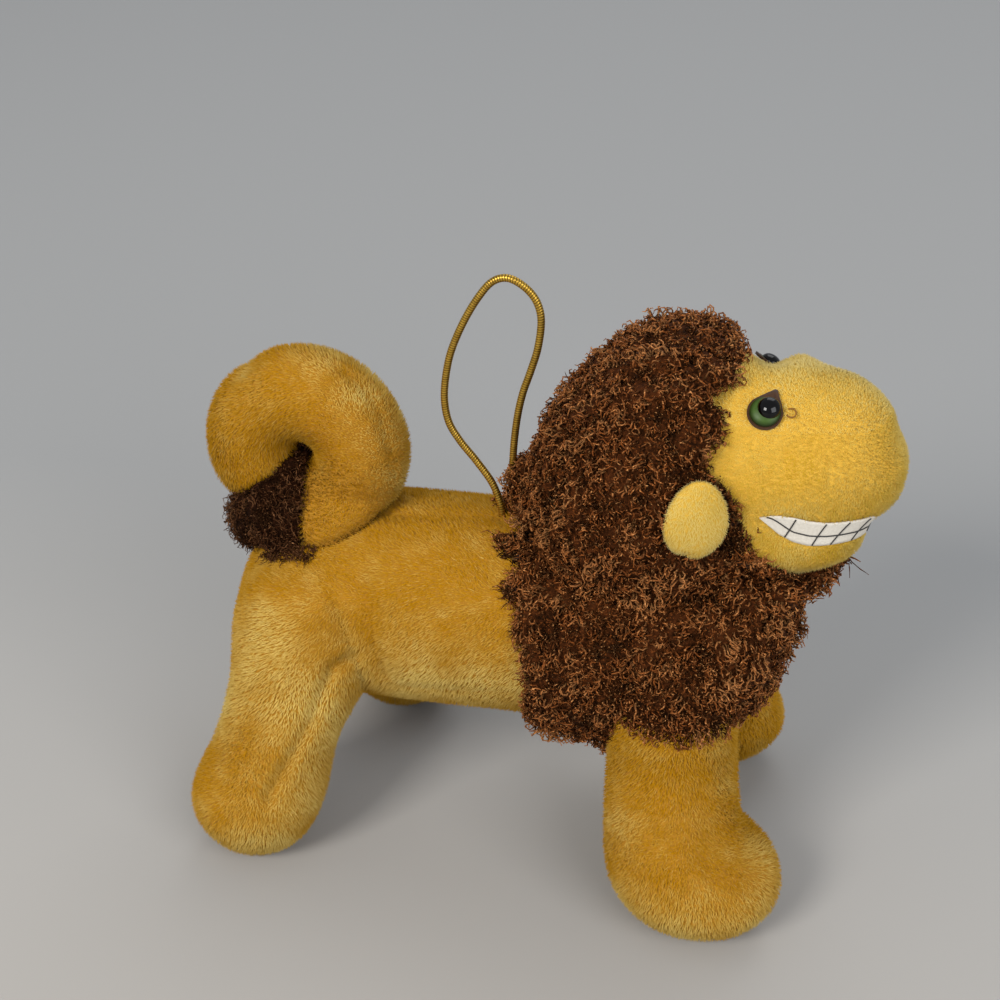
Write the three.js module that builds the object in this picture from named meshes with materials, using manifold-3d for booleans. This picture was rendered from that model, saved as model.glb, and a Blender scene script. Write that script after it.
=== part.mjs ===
// A small plush lion that stands on four stuffed legs and looks along +X.
// It has a curly mane round the chest and the head, a short-pile face with a sewn grin,
// plastic eyes on felt, hanging ears, a tail curled over the rump and a loop of gold cord.
// Lengths are in millimetres, +Z is up and the floor is z = 0.

import * as THREE from 'three';
import { mergeVertices } from 'three/addons/utils/BufferGeometryUtils.js';
import Module from 'manifold-3d';

const wasm = await Module();
wasm.setup();

// Cloths, clearances and fineness
const seamGap = 0.3; // between two pieces that touch
const plushWall = 2.4; // backing and pile of the body cloth
const faceWall = 1.6; // backing and pile of the short face cloth
const overrun = 20; // how far a cutting block runs past what it cuts
const floorCut = 0.5; // how much is pressed flat under each foot
const weldSize = 0.001;
const bodySides = 26;
const bodyRings = 14;
const innerSides = 18;
const innerRings = 10;
const limbSides = 18;
const limbRings = 13;
const domeRings = 6;
const ridgeSteps = 4; // for each turn of the knot
const edgeSteps = 3; // for each point of a drawn edge

// Body: a long stuffed barrel that lies along X, from its front end back to the rump
const bodyLength = 107.5;
const bodyFrontX = 46;
const bodyRearX = bodyFrontX - bodyLength;
const bodyCentreZ = 48.6;
const bodyHalfWidth = 22;
const bodyHalfHeight = 22.6;
// rows: side shift, height shift, half width and half height, as shares of the half sizes
const bodyShares = [
  [0, -0.06, 0.92, 0.9],
  [0, -0.02, 1.0, 1.0],
  [0, 0, 1.0, 1.0],
  [0, 0.02, 0.97, 1.0],
  [0, 0.03, 0.98, 1.02],
  [0, 0.04, 0.98, 1.0],
];
const bodyBluntShare = 3.4;

// Chest mane: curly cloth round the front third of the body, joined along a leaning seam
const maneSeamX = -0.4;
const maneSeamLean = 6; // how far the seam runs back from the belly to the spine
const chestBehindSeam = 11; // the chest form starts here, so that it is full at the seam
const chestFrontX = 55.8;
const chestRise = 1.6; // above the middle of the body
const chestHalfWidth = 26.5;
const chestHalfHeight = 26.4;
const chestShares = [
  [0, -0.05, 0.98, 0.98],
  [0, -0.05, 1.0, 1.0],
  [0, -0.02, 1.0, 1.04],
  [0, 0.08, 0.99, 1.0],
  [0, 0.26, 0.95, 0.8],
];
const chestBluntShare = 3.0;

// Head: skull and muzzle, one rounded form along X
const headRearX = 4;
const headFrontX = 69.9;
const headCentreZ = 90.3;
const headHalfWidth = 18.5;
const headHalfHeight = 19.8;
const headShares = [
  [0, 0.0, 0.9, 0.92],
  [0, 0.02, 1.0, 1.0],
  [0, 0.0, 1.0, 1.0],
  [0, 0.03, 0.98, 0.96],
  [0, 0.1, 0.9, 0.86],
];
const headBluntShare = 2.6;
const faceEdgeX = 36.4; // where the hood of curls ends and the face begins
const faceEdgeLean = -1; // how far the edge leans back from the chin to the brow

// Lower jaw under the grin
const jawLength = 37;
const jawSetback = 4.9; // behind the tip of the muzzle
const jawDrop = 13; // below the middle of the head
const jawHalfWidth = 16.2;
const jawHalfHeight = 8.6;
const jawShares = [
  [0, 0, 0.9, 0.95],
  [0, 0, 1.0, 1.0],
  [0, 0.02, 0.98, 0.98],
  [0, 0.1, 0.9, 0.86],
];
const jawBluntShare = 2.4;

// Head mane: the hood of curls round the back of the head and down to the chest
const hoodOverTop = 4.6; // pile above the crown of the head
const hoodBelow = 32; // from the middle of the head down into the chest
const hoodCentreX = 22;
const hoodHalfLength = 24;
const hoodHalfWidth = 26.5;
// rows: X shift, side shift, half length and half width, as shares of the half sizes
const hoodShares = [
  [0.16, 0, 1.2, 0.96],
  [0.06, 0, 1.06, 1.0],
  [0.0, 0, 0.96, 1.0],
  [0.1, 0, 0.84, 0.97],
  [0.28, 0, 0.68, 0.85],
];
const hoodBluntShare = 2.9;

// Legs: one row of driving sizes for each kind, with the feet spread as the toy stands
const frontLegTopZ = 58;
const frontLegHalfLength = 13.2;
const frontLegHalfWidth = 13.4;
const frontFootX = 38.2;
const frontFootY = 29;
const frontHipX = 31.2;
const frontHipY = 16;
// rows from the foot up: share of the way from foot to hip, half length, half width
const frontLegShares = [
  [0.03, 1.2, 1.02],
  [0.08, 1.32, 1.05],
  [0.38, 1.21, 1.03],
  [0.88, 1.02, 1.0],
  [0.95, 0.99, 0.98],
  [1.0, 1.0, 0.98],
  [1.0, 1.0, 0.98],
];
const frontLegBluntShare = 3.2;

const hindLegTopZ = 60;
const hindLegHalfLength = 14.8;
const hindLegHalfWidth = 13.4;
const hindFootY = 28.2;
const hindHipY = 14;
// how far each of them stands ahead of the rump
const nearHindFootAhead = 7.9;
const farHindFootAhead = 23.5;
const nearHindHipAhead = 16.5;
const farHindHipAhead = 18.5;
const hindLegShares = [
  [0.0, 1.0, 1.0],
  [0.05, 1.05, 1.05],
  [0.4, 0.9, 1.0],
  [0.8, 0.98, 0.98],
  [1.0, 1.08, 0.98],
  [1.0, 1.02, 0.95],
];
const hindLegBluntShare = 3.0;

// Tail: a stuffed tube curled over the rump, with its brown tuft closing the curl
const tailAhead = 14.1; // the middle of the curl ahead of the rump
const tailCentreX = bodyRearX + tailAhead;
const tailCentreZ = 81.2;
const tailBendRadius = 11.6;
const tailHalfThickness = 9.6;
const tailStartAngle = -84; // degrees in the XZ plane, from +X towards +Z
const tuftStartAngle = 217;
const tuftEndAngle = 271;
const tailSteps = 24;
const tailSides = 14;
const tuftSteps = 7;
const tuftFlareShare = 1.26; // the curls stand wider than the cloth
const tailPlumpShare = 0.05;

// Ears: two small ovals of face cloth, sewn at the top and hanging outside the mane
const earHalfLength = 6.4;
const earHalfHeight = 8.5;
const earHalfThickness = 2.6;
const earCentreX = 34.2;
const earDrop = 2.4; // the ear's middle below the middle of the head
const earTurn = 24; // degrees that the ear faces forward
const earShares = [
  [0, 0, 1.0, 1.0],
  [0, 0, 1.04, 1.05],
  [0, 0, 0.96, 1.0],
  [0, -0.1, 0.86, 0.9],
];
const earBluntShare = 2.1;
const earGap = 0.4;

// Eyes: a plastic dome with a shank, a felt backing and a washer inside the head
const eyeX = 43.6;
const eyeRise = 46; // degrees up the side of the head
const eyeRadius = 3;
const eyeDomeHeight = 1.9;
const eyeRimHeight = 0.5;
const shankRadius = 0.9;
const shankLength = 5.4;
const feltRadius = 3.5;
const feltThick = 0.5;
const feltPeak = 5.4; // from the eye's middle to the tip of the brow peak
const feltPeakLean = 18; // degrees that the peak leans towards the muzzle
const feltSink = 0.6; // the pile round the felt stands this much above its seat
const washerRadius = 3.4;
const washerThick = 0.9;
const washerDepth = 1.2; // below the inner face of the face cloth
const eyeSides = 20;

// Grin: a strip of white cloth let in between the face and the jaw.
// rows from the corner forward: share of the head's length, then the heights of the upper
// and lower edges above the middle of the head, as shares of its half height
const teethShares = [
  [0.612, -0.2, -0.2],
  [0.683, -0.2, -0.43],
  [0.76, -0.24, -0.54],
  [0.85, -0.28, -0.555],
  [0.905, -0.28, -0.58],
  [0.93, -0.28, -0.68],
];
const teethThick = 0.5;
const teethSink = 0.6;

// Hanging loop of gold cord: both ends go through the back and into a knot
const cordRadius = 0.75;
const cordSides = 8;
const cordSteps = 72;
const knotHalfLength = 3.2;
const knotTurns = 3;
const knotHalfHeight = 1.9;
// the route, from one end under the back cloth round to the other
const loopRoute = [
  [-6.8, -1.0, 65.9], [-6.8, -1.0, 69.5], [-7.2, -0.9, 73.0], [-9.0, -0.5, 77.4], [-12.4, 0, 81.8],
  [-15.6, 0, 85.8], [-17.9, 0, 90.0], [-18.6, 0, 95.6], [-17.7, 0, 102.6], [-16.0, 0, 108.0],
  [-13.3, 0, 113.8], [-10.4, 0, 118.4], [-8.4, 0, 120.3], [-6.2, 0, 120.9], [-4.0, 0, 120.2],
  [-1.7, 0, 118.4], [-0.2, 0, 116.0], [0.4, 0, 112.6], [-0.2, 0, 107.2], [-1.6, 0, 102.1],
  [-3.0, 0, 97.6], [-4.0, 0, 92.6], [-4.7, 0.1, 86.4], [-5.0, 0.4, 81.0], [-5.0, 0.8, 76.4],
  [-4.9, 1.0, 72.4], [-4.8, 1.0, 69.0], [-4.8, 1.0, 65.9],
];

// An oval that swells and tapers along one axis. rows hold even steps from one end to the
// other; blunt sets how square the ends are, and grow adds cloth or clearance all round.
function plump(form, rings, sides, grow = 0) {
  const { axis, from, to, blunt, rows } = form;
  const mids = new THREE.CatmullRomCurve3(rows.map((r) => new THREE.Vector3(r[0], r[1], 0)));
  const halves = new THREE.CatmullRomCurve3(rows.map((r) => new THREE.Vector3(r[2], r[3], 0)));
  const corners = [];
  const faces = [];
  for (let ring = 0; ring <= rings; ring += 1) {
    const share = (1 - Math.cos(Math.PI * ring / rings)) / 2;
    const swell = (1 - Math.abs(2 * share - 1) ** blunt) ** (1 / blunt);
    const mid = mids.getPoint(share);
    const half = halves.getPoint(share);
    const along = from - grow + (to - from + 2 * grow) * share;
    const count = ring === 0 || ring === rings ? 1 : sides;
    for (let side = 0; side < count; side += 1) {
      const turn = 2 * Math.PI * side / sides;
      const a = mid.x + (half.x + grow) * swell * Math.cos(turn);
      const b = mid.y + (half.y + grow) * swell * Math.sin(turn);
      corners.push(...(axis === 'x' ? [along, a, b] : [a, b, along]));
    }
  }
  const last = corners.length / 3 - 1;
  for (let side = 0; side < sides; side += 1) {
    const next = (side + 1) % sides;
    faces.push(0, 1 + next, 1 + side);
    for (let ring = 0; ring < rings - 2; ring += 1) {
      const low = 1 + ring * sides;
      const high = low + sides;
      faces.push(low + side, low + next, high + next);
      faces.push(low + side, high + next, high + side);
    }
    faces.push(last, last - sides + side, last - sides + next);
  }
  return solidFromLists(corners, faces);
}

// A closed mesh as a solid that can be joined and cut
function solidFromLists(corners, faces) {
  const mesh = { numProp: 3, vertProperties: Float32Array.from(corners), triVerts: Uint32Array.from(faces) };
  return new wasm.Manifold(new wasm.Mesh(mesh));
}

function solidFrom(geometry) {
  const plain = geometry.index ? geometry : geometry.clone();
  plain.deleteAttribute('normal');
  plain.deleteAttribute('uv');
  const merged = mergeVertices(plain, weldSize);
  return solidFromLists(merged.attributes.position.array, merged.index.array);
}

// Rows of shares turned into lengths by the half sizes that they follow
function scaledRows(shares, halfA, halfB, centreA, centreB) {
  return shares.map((row) => [
    centreA + row[0] * halfA, centreB + row[1] * halfB, row[2] * halfA, row[3] * halfB,
  ]);
}

function block(lowX, highX, lowY, highY, lowZ, highZ) {
  const box = new THREE.BoxGeometry(highX - lowX, highY - lowY, highZ - lowZ);
  box.translate((lowX + highX) / 2, (lowY + highY) / 2, (lowZ + highZ) / 2);
  return solidFrom(box);
}

// The oval of a form at one place along its axis: the middle and the half sizes there
function ovalAt(form, place) {
  const share = (place - form.from) / (form.to - form.from);
  const swell = (1 - Math.abs(2 * share - 1) ** form.blunt) ** (1 / form.blunt);
  const mids = new THREE.CatmullRomCurve3(form.rows.map((r) => new THREE.Vector3(r[0], r[1], 0)));
  const halves = new THREE.CatmullRomCurve3(form.rows.map((r) => new THREE.Vector3(r[2], r[3], 0)));
  return { mid: mids.getPoint(share), half: halves.getPoint(share).multiplyScalar(swell) };
}

// Forms: the stuffed shapes that the cloth pieces are cut from
const headLength = headFrontX - headRearX;
const bodyForm = {
  axis: 'x', from: bodyRearX, to: bodyFrontX, blunt: bodyBluntShare,
  rows: scaledRows(bodyShares, bodyHalfWidth, bodyHalfHeight, 0, bodyCentreZ),
};
const chestForm = {
  axis: 'x', from: maneSeamX - chestBehindSeam, to: chestFrontX, blunt: chestBluntShare,
  rows: scaledRows(chestShares, chestHalfWidth, chestHalfHeight, 0, bodyCentreZ + chestRise),
};
const headForm = {
  axis: 'x', from: headRearX, to: headFrontX, blunt: headBluntShare,
  rows: scaledRows(headShares, headHalfWidth, headHalfHeight, 0, headCentreZ),
};
const jawForm = {
  axis: 'x', from: headFrontX - jawSetback - jawLength, to: headFrontX - jawSetback,
  blunt: jawBluntShare,
  rows: scaledRows(jawShares, jawHalfWidth, jawHalfHeight, 0, headCentreZ - jawDrop),
};
const hoodForm = {
  axis: 'z', from: headCentreZ - hoodBelow, to: headCentreZ + headHalfHeight + hoodOverTop,
  blunt: hoodBluntShare,
  rows: scaledRows(hoodShares, hoodHalfLength, hoodHalfWidth, hoodCentreX, 0),
};

// Everything lies inside this box, with room to spare
const lowX = bodyRearX - overrun;
const highX = headFrontX + overrun;
const farY = chestHalfWidth + overrun;
const highZ = hoodForm.to + overrun;

// What lies ahead of an upright cut that leans back by lean over a height
function aheadOf(placeX, middleZ, lean, height, shift) {
  const box = new THREE.BoxGeometry(highX - lowX, 2 * farY, 2 * highZ);
  box.translate((highX - lowX) / 2 + shift, 0, 0);
  box.rotateY(-Math.atan2(lean, height));
  box.translate(placeX, 0, middleZ);
  return solidFrom(box);
}

const aheadOfSeam = (shift) => aheadOf(maneSeamX, bodyCentreZ, maneSeamLean, 2 * bodyHalfHeight, shift);
const aheadOfFace = (shift) => aheadOf(faceEdgeX, headCentreZ, faceEdgeLean, 2 * headHalfHeight, shift);

const outer = (form, grow = 0) => plump(form, bodyRings, bodySides, grow);
const inner = (form, grow) => plump(form, innerRings, innerSides, grow);

// What later pieces keep clear of: each form of the body with the seam's gap round it
const chestKeepout = outer(chestForm, seamGap).intersect(aheadOfSeam(-seamGap / 2));
const bodyKeepout = outer(bodyForm, seamGap).add(chestKeepout);
const hoodKeepout = outer(hoodForm, seamGap).subtract(aheadOfFace(seamGap / 2));
const headKeepout = outer(headForm, seamGap);

function torsoCover() {
  return outer(bodyForm).subtract(inner(bodyForm, -plushWall)).subtract(aheadOfSeam(-seamGap / 2));
}

function torsoStuffing() {
  return inner(bodyForm, -plushWall - seamGap);
}

function chestMane() {
  return outer(chestForm).intersect(aheadOfSeam(seamGap / 2)).subtract(inner(bodyForm, -plushWall));
}

function headMane() {
  return outer(hoodForm).subtract(aheadOfFace(-seamGap / 2))
    .subtract(inner(headForm, -faceWall))
    .subtract(bodyKeepout);
}

function headCover() {
  return outer(headForm).intersect(aheadOfFace(seamGap / 2))
    .subtract(inner(headForm, -faceWall))
    .subtract(chestKeepout);
}

function headStuffing() {
  return inner(headForm, -faceWall - seamGap).subtract(chestKeepout);
}

function chin() {
  return outer(jawForm).subtract(headKeepout).subtract(chestKeepout).subtract(hoodKeepout);
}

// A leg stands upright through level ovals, so its foot can reach forward without a kink
function legForm(leg) {
  const rows = leg.shares.map((row) => [
    leg.footX + (leg.hipX - leg.footX) * row[0],
    leg.side * (leg.footY + (leg.hipY - leg.footY) * row[0]),
    leg.halfLength * row[1],
    leg.halfWidth * row[2],
  ]);
  return { axis: 'z', from: -floorCut, to: leg.topZ, blunt: leg.blunt, rows };
}

function stuffedLeg(leg) {
  const floor = block(lowX, highX, -farY, farY, -overrun, 0);
  return plump(legForm(leg), limbRings, limbSides).subtract(floor).subtract(bodyKeepout);
}

const frontLeg = {
  footX: frontFootX, hipX: frontHipX, footY: frontFootY, hipY: frontHipY, topZ: frontLegTopZ,
  halfLength: frontLegHalfLength, halfWidth: frontLegHalfWidth,
  shares: frontLegShares, blunt: frontLegBluntShare,
};
const hindLeg = {
  footY: hindFootY, hipY: hindHipY, topZ: hindLegTopZ,
  halfLength: hindLegHalfLength, halfWidth: hindLegHalfWidth,
  shares: hindLegShares, blunt: hindLegBluntShare,
};
const legs = {
  right_front_leg: { ...frontLeg, side: -1 },
  left_front_leg: { ...frontLeg, side: 1 },
  right_hind_leg: {
    ...hindLeg, side: -1, footX: bodyRearX + nearHindFootAhead, hipX: bodyRearX + nearHindHipAhead,
  },
  left_hind_leg: {
    ...hindLeg, side: 1, footX: bodyRearX + farHindFootAhead, hipX: bodyRearX + farHindHipAhead,
  },
};

// A round tube bent in the XZ plane, between two angles about the middle of the curl
function curlTube(startAngle, endAngle, steps, halfAt) {
  const corners = [];
  const faces = [];
  for (let step = 0; step <= steps; step += 1) {
    const share = step / steps;
    const angle = THREE.MathUtils.degToRad(startAngle + (endAngle - startAngle) * share);
    const half = halfAt(share);
    for (let side = 0; side < tailSides; side += 1) {
      const turn = 2 * Math.PI * side / tailSides;
      const reach = tailBendRadius + half * Math.cos(turn);
      corners.push(tailCentreX + reach * Math.cos(angle), half * Math.sin(turn),
        tailCentreZ + reach * Math.sin(angle));
    }
  }
  for (let side = 0; side < tailSides; side += 1) {
    const next = (side + 1) % tailSides;
    for (let step = 0; step < steps; step += 1) {
      const low = step * tailSides;
      const high = low + tailSides;
      faces.push(low + side, low + next, high + next, low + side, high + next, high + side);
    }
  }
  for (let side = 1; side < tailSides - 1; side += 1) {
    const end = steps * tailSides;
    faces.push(0, side + 1, side, end, end + side, end + side + 1);
  }
  return solidFromLists(corners, faces);
}

const tailHalf = (share) => tailHalfThickness * (1 + tailPlumpShare * Math.sin(Math.PI * share));
const tuftHalf = () => tailHalfThickness * tuftFlareShare;

function tail() {
  return curlTube(tailStartAngle, tuftStartAngle, tailSteps, tailHalf).subtract(bodyKeepout);
}

// The tuft starts a seam's gap past the tail's end and fills the curl down to the rump
function tailTuft() {
  const turn = THREE.MathUtils.degToRad(tuftStartAngle);
  const tailKeepout = curlTube(tailStartAngle, tuftStartAngle, tailSteps,
    (share) => tailHalf(share) + seamGap);
  return curlTube(tuftStartAngle, tuftEndAngle, tuftSteps, tuftHalf)
    .translate([-seamGap * Math.sin(turn), 0, seamGap * Math.cos(turn)])
    .subtract(tailKeepout)
    .subtract(bodyKeepout);
}

// An ear hangs flat against the curls at the edge of the hood and faces a little forward
function earPlace(side) {
  const middleZ = headCentreZ - earDrop;
  const { mid, half } = ovalAt(hoodForm, middleZ);
  const reach = Math.sqrt(1 - ((earCentreX - mid.x) / half.x) ** 2);
  return { x: earCentreX, y: side * (half.y * reach + earHalfThickness / 2), z: middleZ, side };
}

function ear(side) {
  const place = earPlace(side);
  const form = {
    axis: 'z', from: -earHalfHeight, to: earHalfHeight, blunt: earBluntShare,
    rows: scaledRows(earShares, earHalfLength, side * earHalfThickness, 0, 0)
      .map((row) => [row[0], row[1], row[2], Math.abs(row[3])]),
  };
  return plump(form, innerRings, innerSides)
    .rotate([0, 0, -side * earTurn])
    .translate([place.x, place.y, place.z])
    .subtract(outer(hoodForm, earGap).subtract(aheadOfFace(seamGap / 2)))
    .subtract(outer(headForm, earGap));
}

// Where an eye sits on the head: its middle and the way it looks
function eyeFrame(side) {
  const turn = THREE.MathUtils.degToRad(eyeRise);
  const pointAt = (x, angle) => {
    const { mid, half } = ovalAt(headForm, x);
    return new THREE.Vector3(x, side * (mid.x + half.x * Math.cos(angle)), mid.y + half.y * Math.sin(angle));
  };
  const step = weldSize;
  const middle = pointAt(eyeX, turn);
  const forward = pointAt(eyeX + step, turn).sub(middle).normalize();
  const upward = pointAt(eyeX, turn + step).sub(middle).normalize();
  const look = forward.clone().cross(upward).normalize().multiplyScalar(-side);
  const rise = look.clone().cross(forward).normalize().multiplyScalar(-side);
  return { middle, forward, rise, look };
}

// Turns a shape drawn flat, with +Z out of the cloth, on to an eye's place
function atEye(geometry, side) {
  const { middle, forward, rise, look } = eyeFrame(side);
  const across = side < 0 ? forward : forward.clone().negate();
  geometry.applyMatrix4(new THREE.Matrix4().makeBasis(across, rise, look).setPosition(middle));
  return solidFrom(geometry);
}

// A profile of radius and height turned about +Z
function turned(points, sides) {
  const outline = points.map(([radius, height]) => new THREE.Vector2(radius, height));
  return new THREE.LatheGeometry(outline, sides).rotateX(Math.PI / 2);
}

const feltSeat = seamGap - feltSink;
const eyeSeat = feltSeat + feltThick + seamGap;

function eye(side) {
  const low = eyeSeat - shankLength;
  const profile = [[0, low], [shankRadius, low], [shankRadius, eyeSeat], [eyeRadius, eyeSeat]];
  for (let ring = 0; ring < domeRings; ring += 1) {
    const turn = Math.PI / 2 * (1 - ring / domeRings);
    profile.push([eyeRadius * Math.sin(turn), eyeSeat + eyeRimHeight
      + (eyeDomeHeight - eyeRimHeight) * Math.cos(turn)]);
  }
  profile.push([0, eyeSeat + eyeDomeHeight]);
  return atEye(turned(profile, eyeSides), side);
}

function shankRoom(side) {
  const radius = shankRadius + seamGap;
  const low = eyeSeat - shankLength - seamGap;
  const high = low + overrun;
  return atEye(turned([[0, low], [radius, low], [radius, high], [0, high]], eyeSides / 2), side);
}

function washer(side, grow = 0) {
  const high = -faceWall - washerDepth + grow;
  const low = high - washerThick - 2 * grow;
  const bore = shankRadius + seamGap / 2 - grow;
  const edge = washerRadius + grow;
  const ring = [[bore, low], [edge, low], [edge, high], [bore, high], [bore, low]];
  const plug = [[0, low], [edge, low], [edge, high], [0, high]];
  return atEye(turned(grow > 0 ? plug : ring, eyeSides), side);
}

// The felt's outline: a round with one pointed peak, cut through the cloth along +Z
function feltPrism(side, grow) {
  const radius = feltRadius + grow;
  const peak = feltPeak + grow;
  const half = Math.acos(radius / peak);
  const middle = Math.PI / 2 + side * THREE.MathUtils.degToRad(feltPeakLean);
  const outline = new THREE.Shape();
  outline.absarc(0, 0, radius, middle + half, middle - half + 2 * Math.PI, false);
  outline.lineTo(peak * Math.cos(middle), peak * Math.sin(middle));
  outline.closePath();
  const prism = new THREE.ExtrudeGeometry(outline,
    { depth: 2 * feltRadius, bevelEnabled: false, curveSegments: eyeSides });
  return atEye(prism.translate(0, 0, -feltRadius), side);
}

const faceSkin = (grow) => outer(headForm, grow).add(outer(jawForm, grow));

function felt(side) {
  return feltPrism(side, 0)
    .intersect(outer(headForm, feltSeat + feltThick))
    .subtract(outer(headForm, feltSeat))
    .subtract(shankRoom(side));
}

// The grin in side view, drawn across the whole head
function teethPrism(grow) {
  const place = ([along, height]) => new THREE.Vector2(
    headRearX + headLength * along, headCentreZ + headHalfHeight * height);
  const upper = teethShares.map((row) => place([row[0], row[1]]));
  const lower = teethShares.map((row) => place([row[0], row[2]]));
  const smooth = (points) => new THREE.SplineCurve(points).getPoints(edgeSteps * points.length);
  const top = smooth(upper).map((p) => new THREE.Vector2(p.x, p.y + grow));
  const bottom = smooth(lower).map((p) => new THREE.Vector2(p.x, p.y - grow)).reverse();
  top[0].x -= grow;
  const outline = new THREE.Shape([...top, ...bottom.slice(0, grow > 0 ? bottom.length : -1)]);
  const prism = new THREE.ExtrudeGeometry(outline, { depth: 2 * farY, bevelEnabled: false });
  return solidFrom(prism.translate(0, 0, -farY).rotateX(Math.PI / 2));
}

const teethSeat = seamGap - teethSink;

function teeth() {
  return teethPrism(0).intersect(faceSkin(teethSeat + teethThick)).subtract(faceSkin(teethSeat));
}

const teethRoom = teethPrism(seamGap).subtract(faceSkin(-teethSink));

function feltRoom(side) {
  return feltPrism(side, seamGap).subtract(outer(headForm, -feltSink));
}

// The cord, and the room it needs where it goes through the cloth and the filling
function cordTube(radius) {
  const route = new THREE.CatmullRomCurve3(loopRoute.map((p) => new THREE.Vector3(...p)));
  const section = new THREE.Shape();
  section.absarc(0, 0, radius, 0, 2 * Math.PI, false);
  const tube = new THREE.ExtrudeGeometry(section,
    { steps: cordSteps, extrudePath: route, curveSegments: cordSides / 2, bevelEnabled: false });
  return solidFrom(tube);
}

// The knot hangs under the cord's two ends, with the seam's gap between.
// It is the cord's turns drawn tight, as a barrel with one ridge for each turn.
function knot(grow) {
  const profile = [[0, -knotHalfLength - grow]];
  const steps = ridgeSteps * knotTurns;
  for (let step = 0; step <= steps; step += 1) {
    const share = step / steps;
    const ridge = knotHalfHeight - cordRadius + cordRadius * Math.abs(Math.sin(Math.PI * knotTurns * share));
    profile.push([ridge + grow, (knotHalfLength + grow) * (2 * share - 1)]);
  }
  profile.push([0, knotHalfLength + grow]);
  const barrel = turned(profile, innerSides).rotateX(Math.PI / 2);
  const ends = [loopRoute[0], loopRoute[loopRoute.length - 1]];
  const middleX = (ends[0][0] + ends[1][0]) / 2;
  return solidFrom(barrel.translate(middleX, 0, ends[0][2] - seamGap - knotHalfHeight));
}

// All the pieces, by name
const sides = { right: -1, left: 1 };
const cordRoom = cordTube(cordRadius + seamGap);
const pieces = {
  torso_cover: torsoCover().subtract(cordRoom),
  torso_stuffing: torsoStuffing().subtract(cordRoom).subtract(knot(2 * seamGap)),
  chest_mane: chestMane().subtract(cordRoom),
  head_mane: headMane(),
  head_cover: headCover().subtract(teethRoom),
  head_stuffing: headStuffing(),
  chin: chin().subtract(teethRoom),
  teeth_panel: teeth(),
  tail: tail(),
  tail_tuft: tailTuft(),
  hang_loop: cordTube(cordRadius),
  cord_knot: knot(0),
};
for (const [name, leg] of Object.entries(legs)) pieces[name] = stuffedLeg(leg);
for (const [name, side] of Object.entries(sides)) {
  pieces.head_cover = pieces.head_cover.subtract(feltRoom(side)).subtract(shankRoom(side));
  pieces.head_stuffing = pieces.head_stuffing.subtract(shankRoom(side)).subtract(washer(side, seamGap));
  pieces[`${name}_ear`] = ear(side);
  pieces[`${name}_eye`] = eye(side);
  pieces[`${name}_eye_felt`] = felt(side);
  pieces[`${name}_eye_washer`] = washer(side);
}

// Finishes: colour, roughness and metalness of each kind of piece
const finishes = {
  plush: { color: 0xb98a2c, roughness: 0.95, metalness: 0 },
  faceCloth: { color: 0xdab252, roughness: 0.95, metalness: 0 },
  curls: { color: 0x5a2f17, roughness: 0.9, metalness: 0 },
  tuftCurls: { color: 0x24110a, roughness: 0.9, metalness: 0 },
  filling: { color: 0xf0eee8, roughness: 1, metalness: 0 },
  teethCloth: { color: 0xe6e1d6, roughness: 0.7, metalness: 0 },
  eyePlastic: { color: 0x2f5a22, roughness: 0.12, metalness: 0 },
  washerPlastic: { color: 0xe2e2de, roughness: 0.4, metalness: 0 },
  feltCloth: { color: 0x6b4218, roughness: 0.95, metalness: 0 },
  cord: { color: 0xa5822f, roughness: 0.35, metalness: 0.8 },
};
const finishOf = {
  torso_cover: 'plush', tail: 'plush', chest_mane: 'curls', head_mane: 'curls', tail_tuft: 'tuftCurls',
  head_cover: 'faceCloth', chin: 'faceCloth', teeth_panel: 'teethCloth', hang_loop: 'cord',
  cord_knot: 'cord', torso_stuffing: 'filling', head_stuffing: 'filling',
  right_eye: 'eyePlastic', left_eye: 'eyePlastic', right_eye_felt: 'feltCloth', left_eye_felt: 'feltCloth',
  right_eye_washer: 'washerPlastic', left_eye_washer: 'washerPlastic',
  right_ear: 'faceCloth', left_ear: 'faceCloth',
};

function geometryFrom(solid) {
  const mesh = solid.getMesh();
  const geometry = new THREE.BufferGeometry();
  geometry.setAttribute('position', new THREE.BufferAttribute(Float32Array.from(mesh.vertProperties), 3));
  geometry.setIndex(new THREE.BufferAttribute(Uint32Array.from(mesh.triVerts), 1));
  geometry.computeVertexNormals();
  return geometry;
}

const lion = new THREE.Group();
for (const [name, solid] of Object.entries(pieces)) {
  const finish = finishes[finishOf[name] ?? 'plush'];
  const mesh = new THREE.Mesh(geometryFrom(solid), new THREE.MeshStandardMaterial(finish));
  mesh.name = name;
  lion.add(mesh);
}

export default lion;
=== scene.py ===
import bpy
import numpy as np
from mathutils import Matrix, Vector


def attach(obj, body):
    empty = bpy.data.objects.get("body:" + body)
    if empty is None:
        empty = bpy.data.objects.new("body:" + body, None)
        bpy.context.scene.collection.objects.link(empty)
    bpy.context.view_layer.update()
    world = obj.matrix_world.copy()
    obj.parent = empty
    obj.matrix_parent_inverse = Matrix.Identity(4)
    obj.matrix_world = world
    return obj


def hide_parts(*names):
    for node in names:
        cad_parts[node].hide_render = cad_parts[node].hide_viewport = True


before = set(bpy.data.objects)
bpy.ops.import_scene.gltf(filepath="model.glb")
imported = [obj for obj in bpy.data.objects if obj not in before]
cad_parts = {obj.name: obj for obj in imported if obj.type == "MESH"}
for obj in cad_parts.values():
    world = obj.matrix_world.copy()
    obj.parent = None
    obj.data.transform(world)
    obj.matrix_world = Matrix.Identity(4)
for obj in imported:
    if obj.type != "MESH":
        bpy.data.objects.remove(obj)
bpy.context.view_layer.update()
bpy.ops.object.select_all(action="DESELECT")

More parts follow.
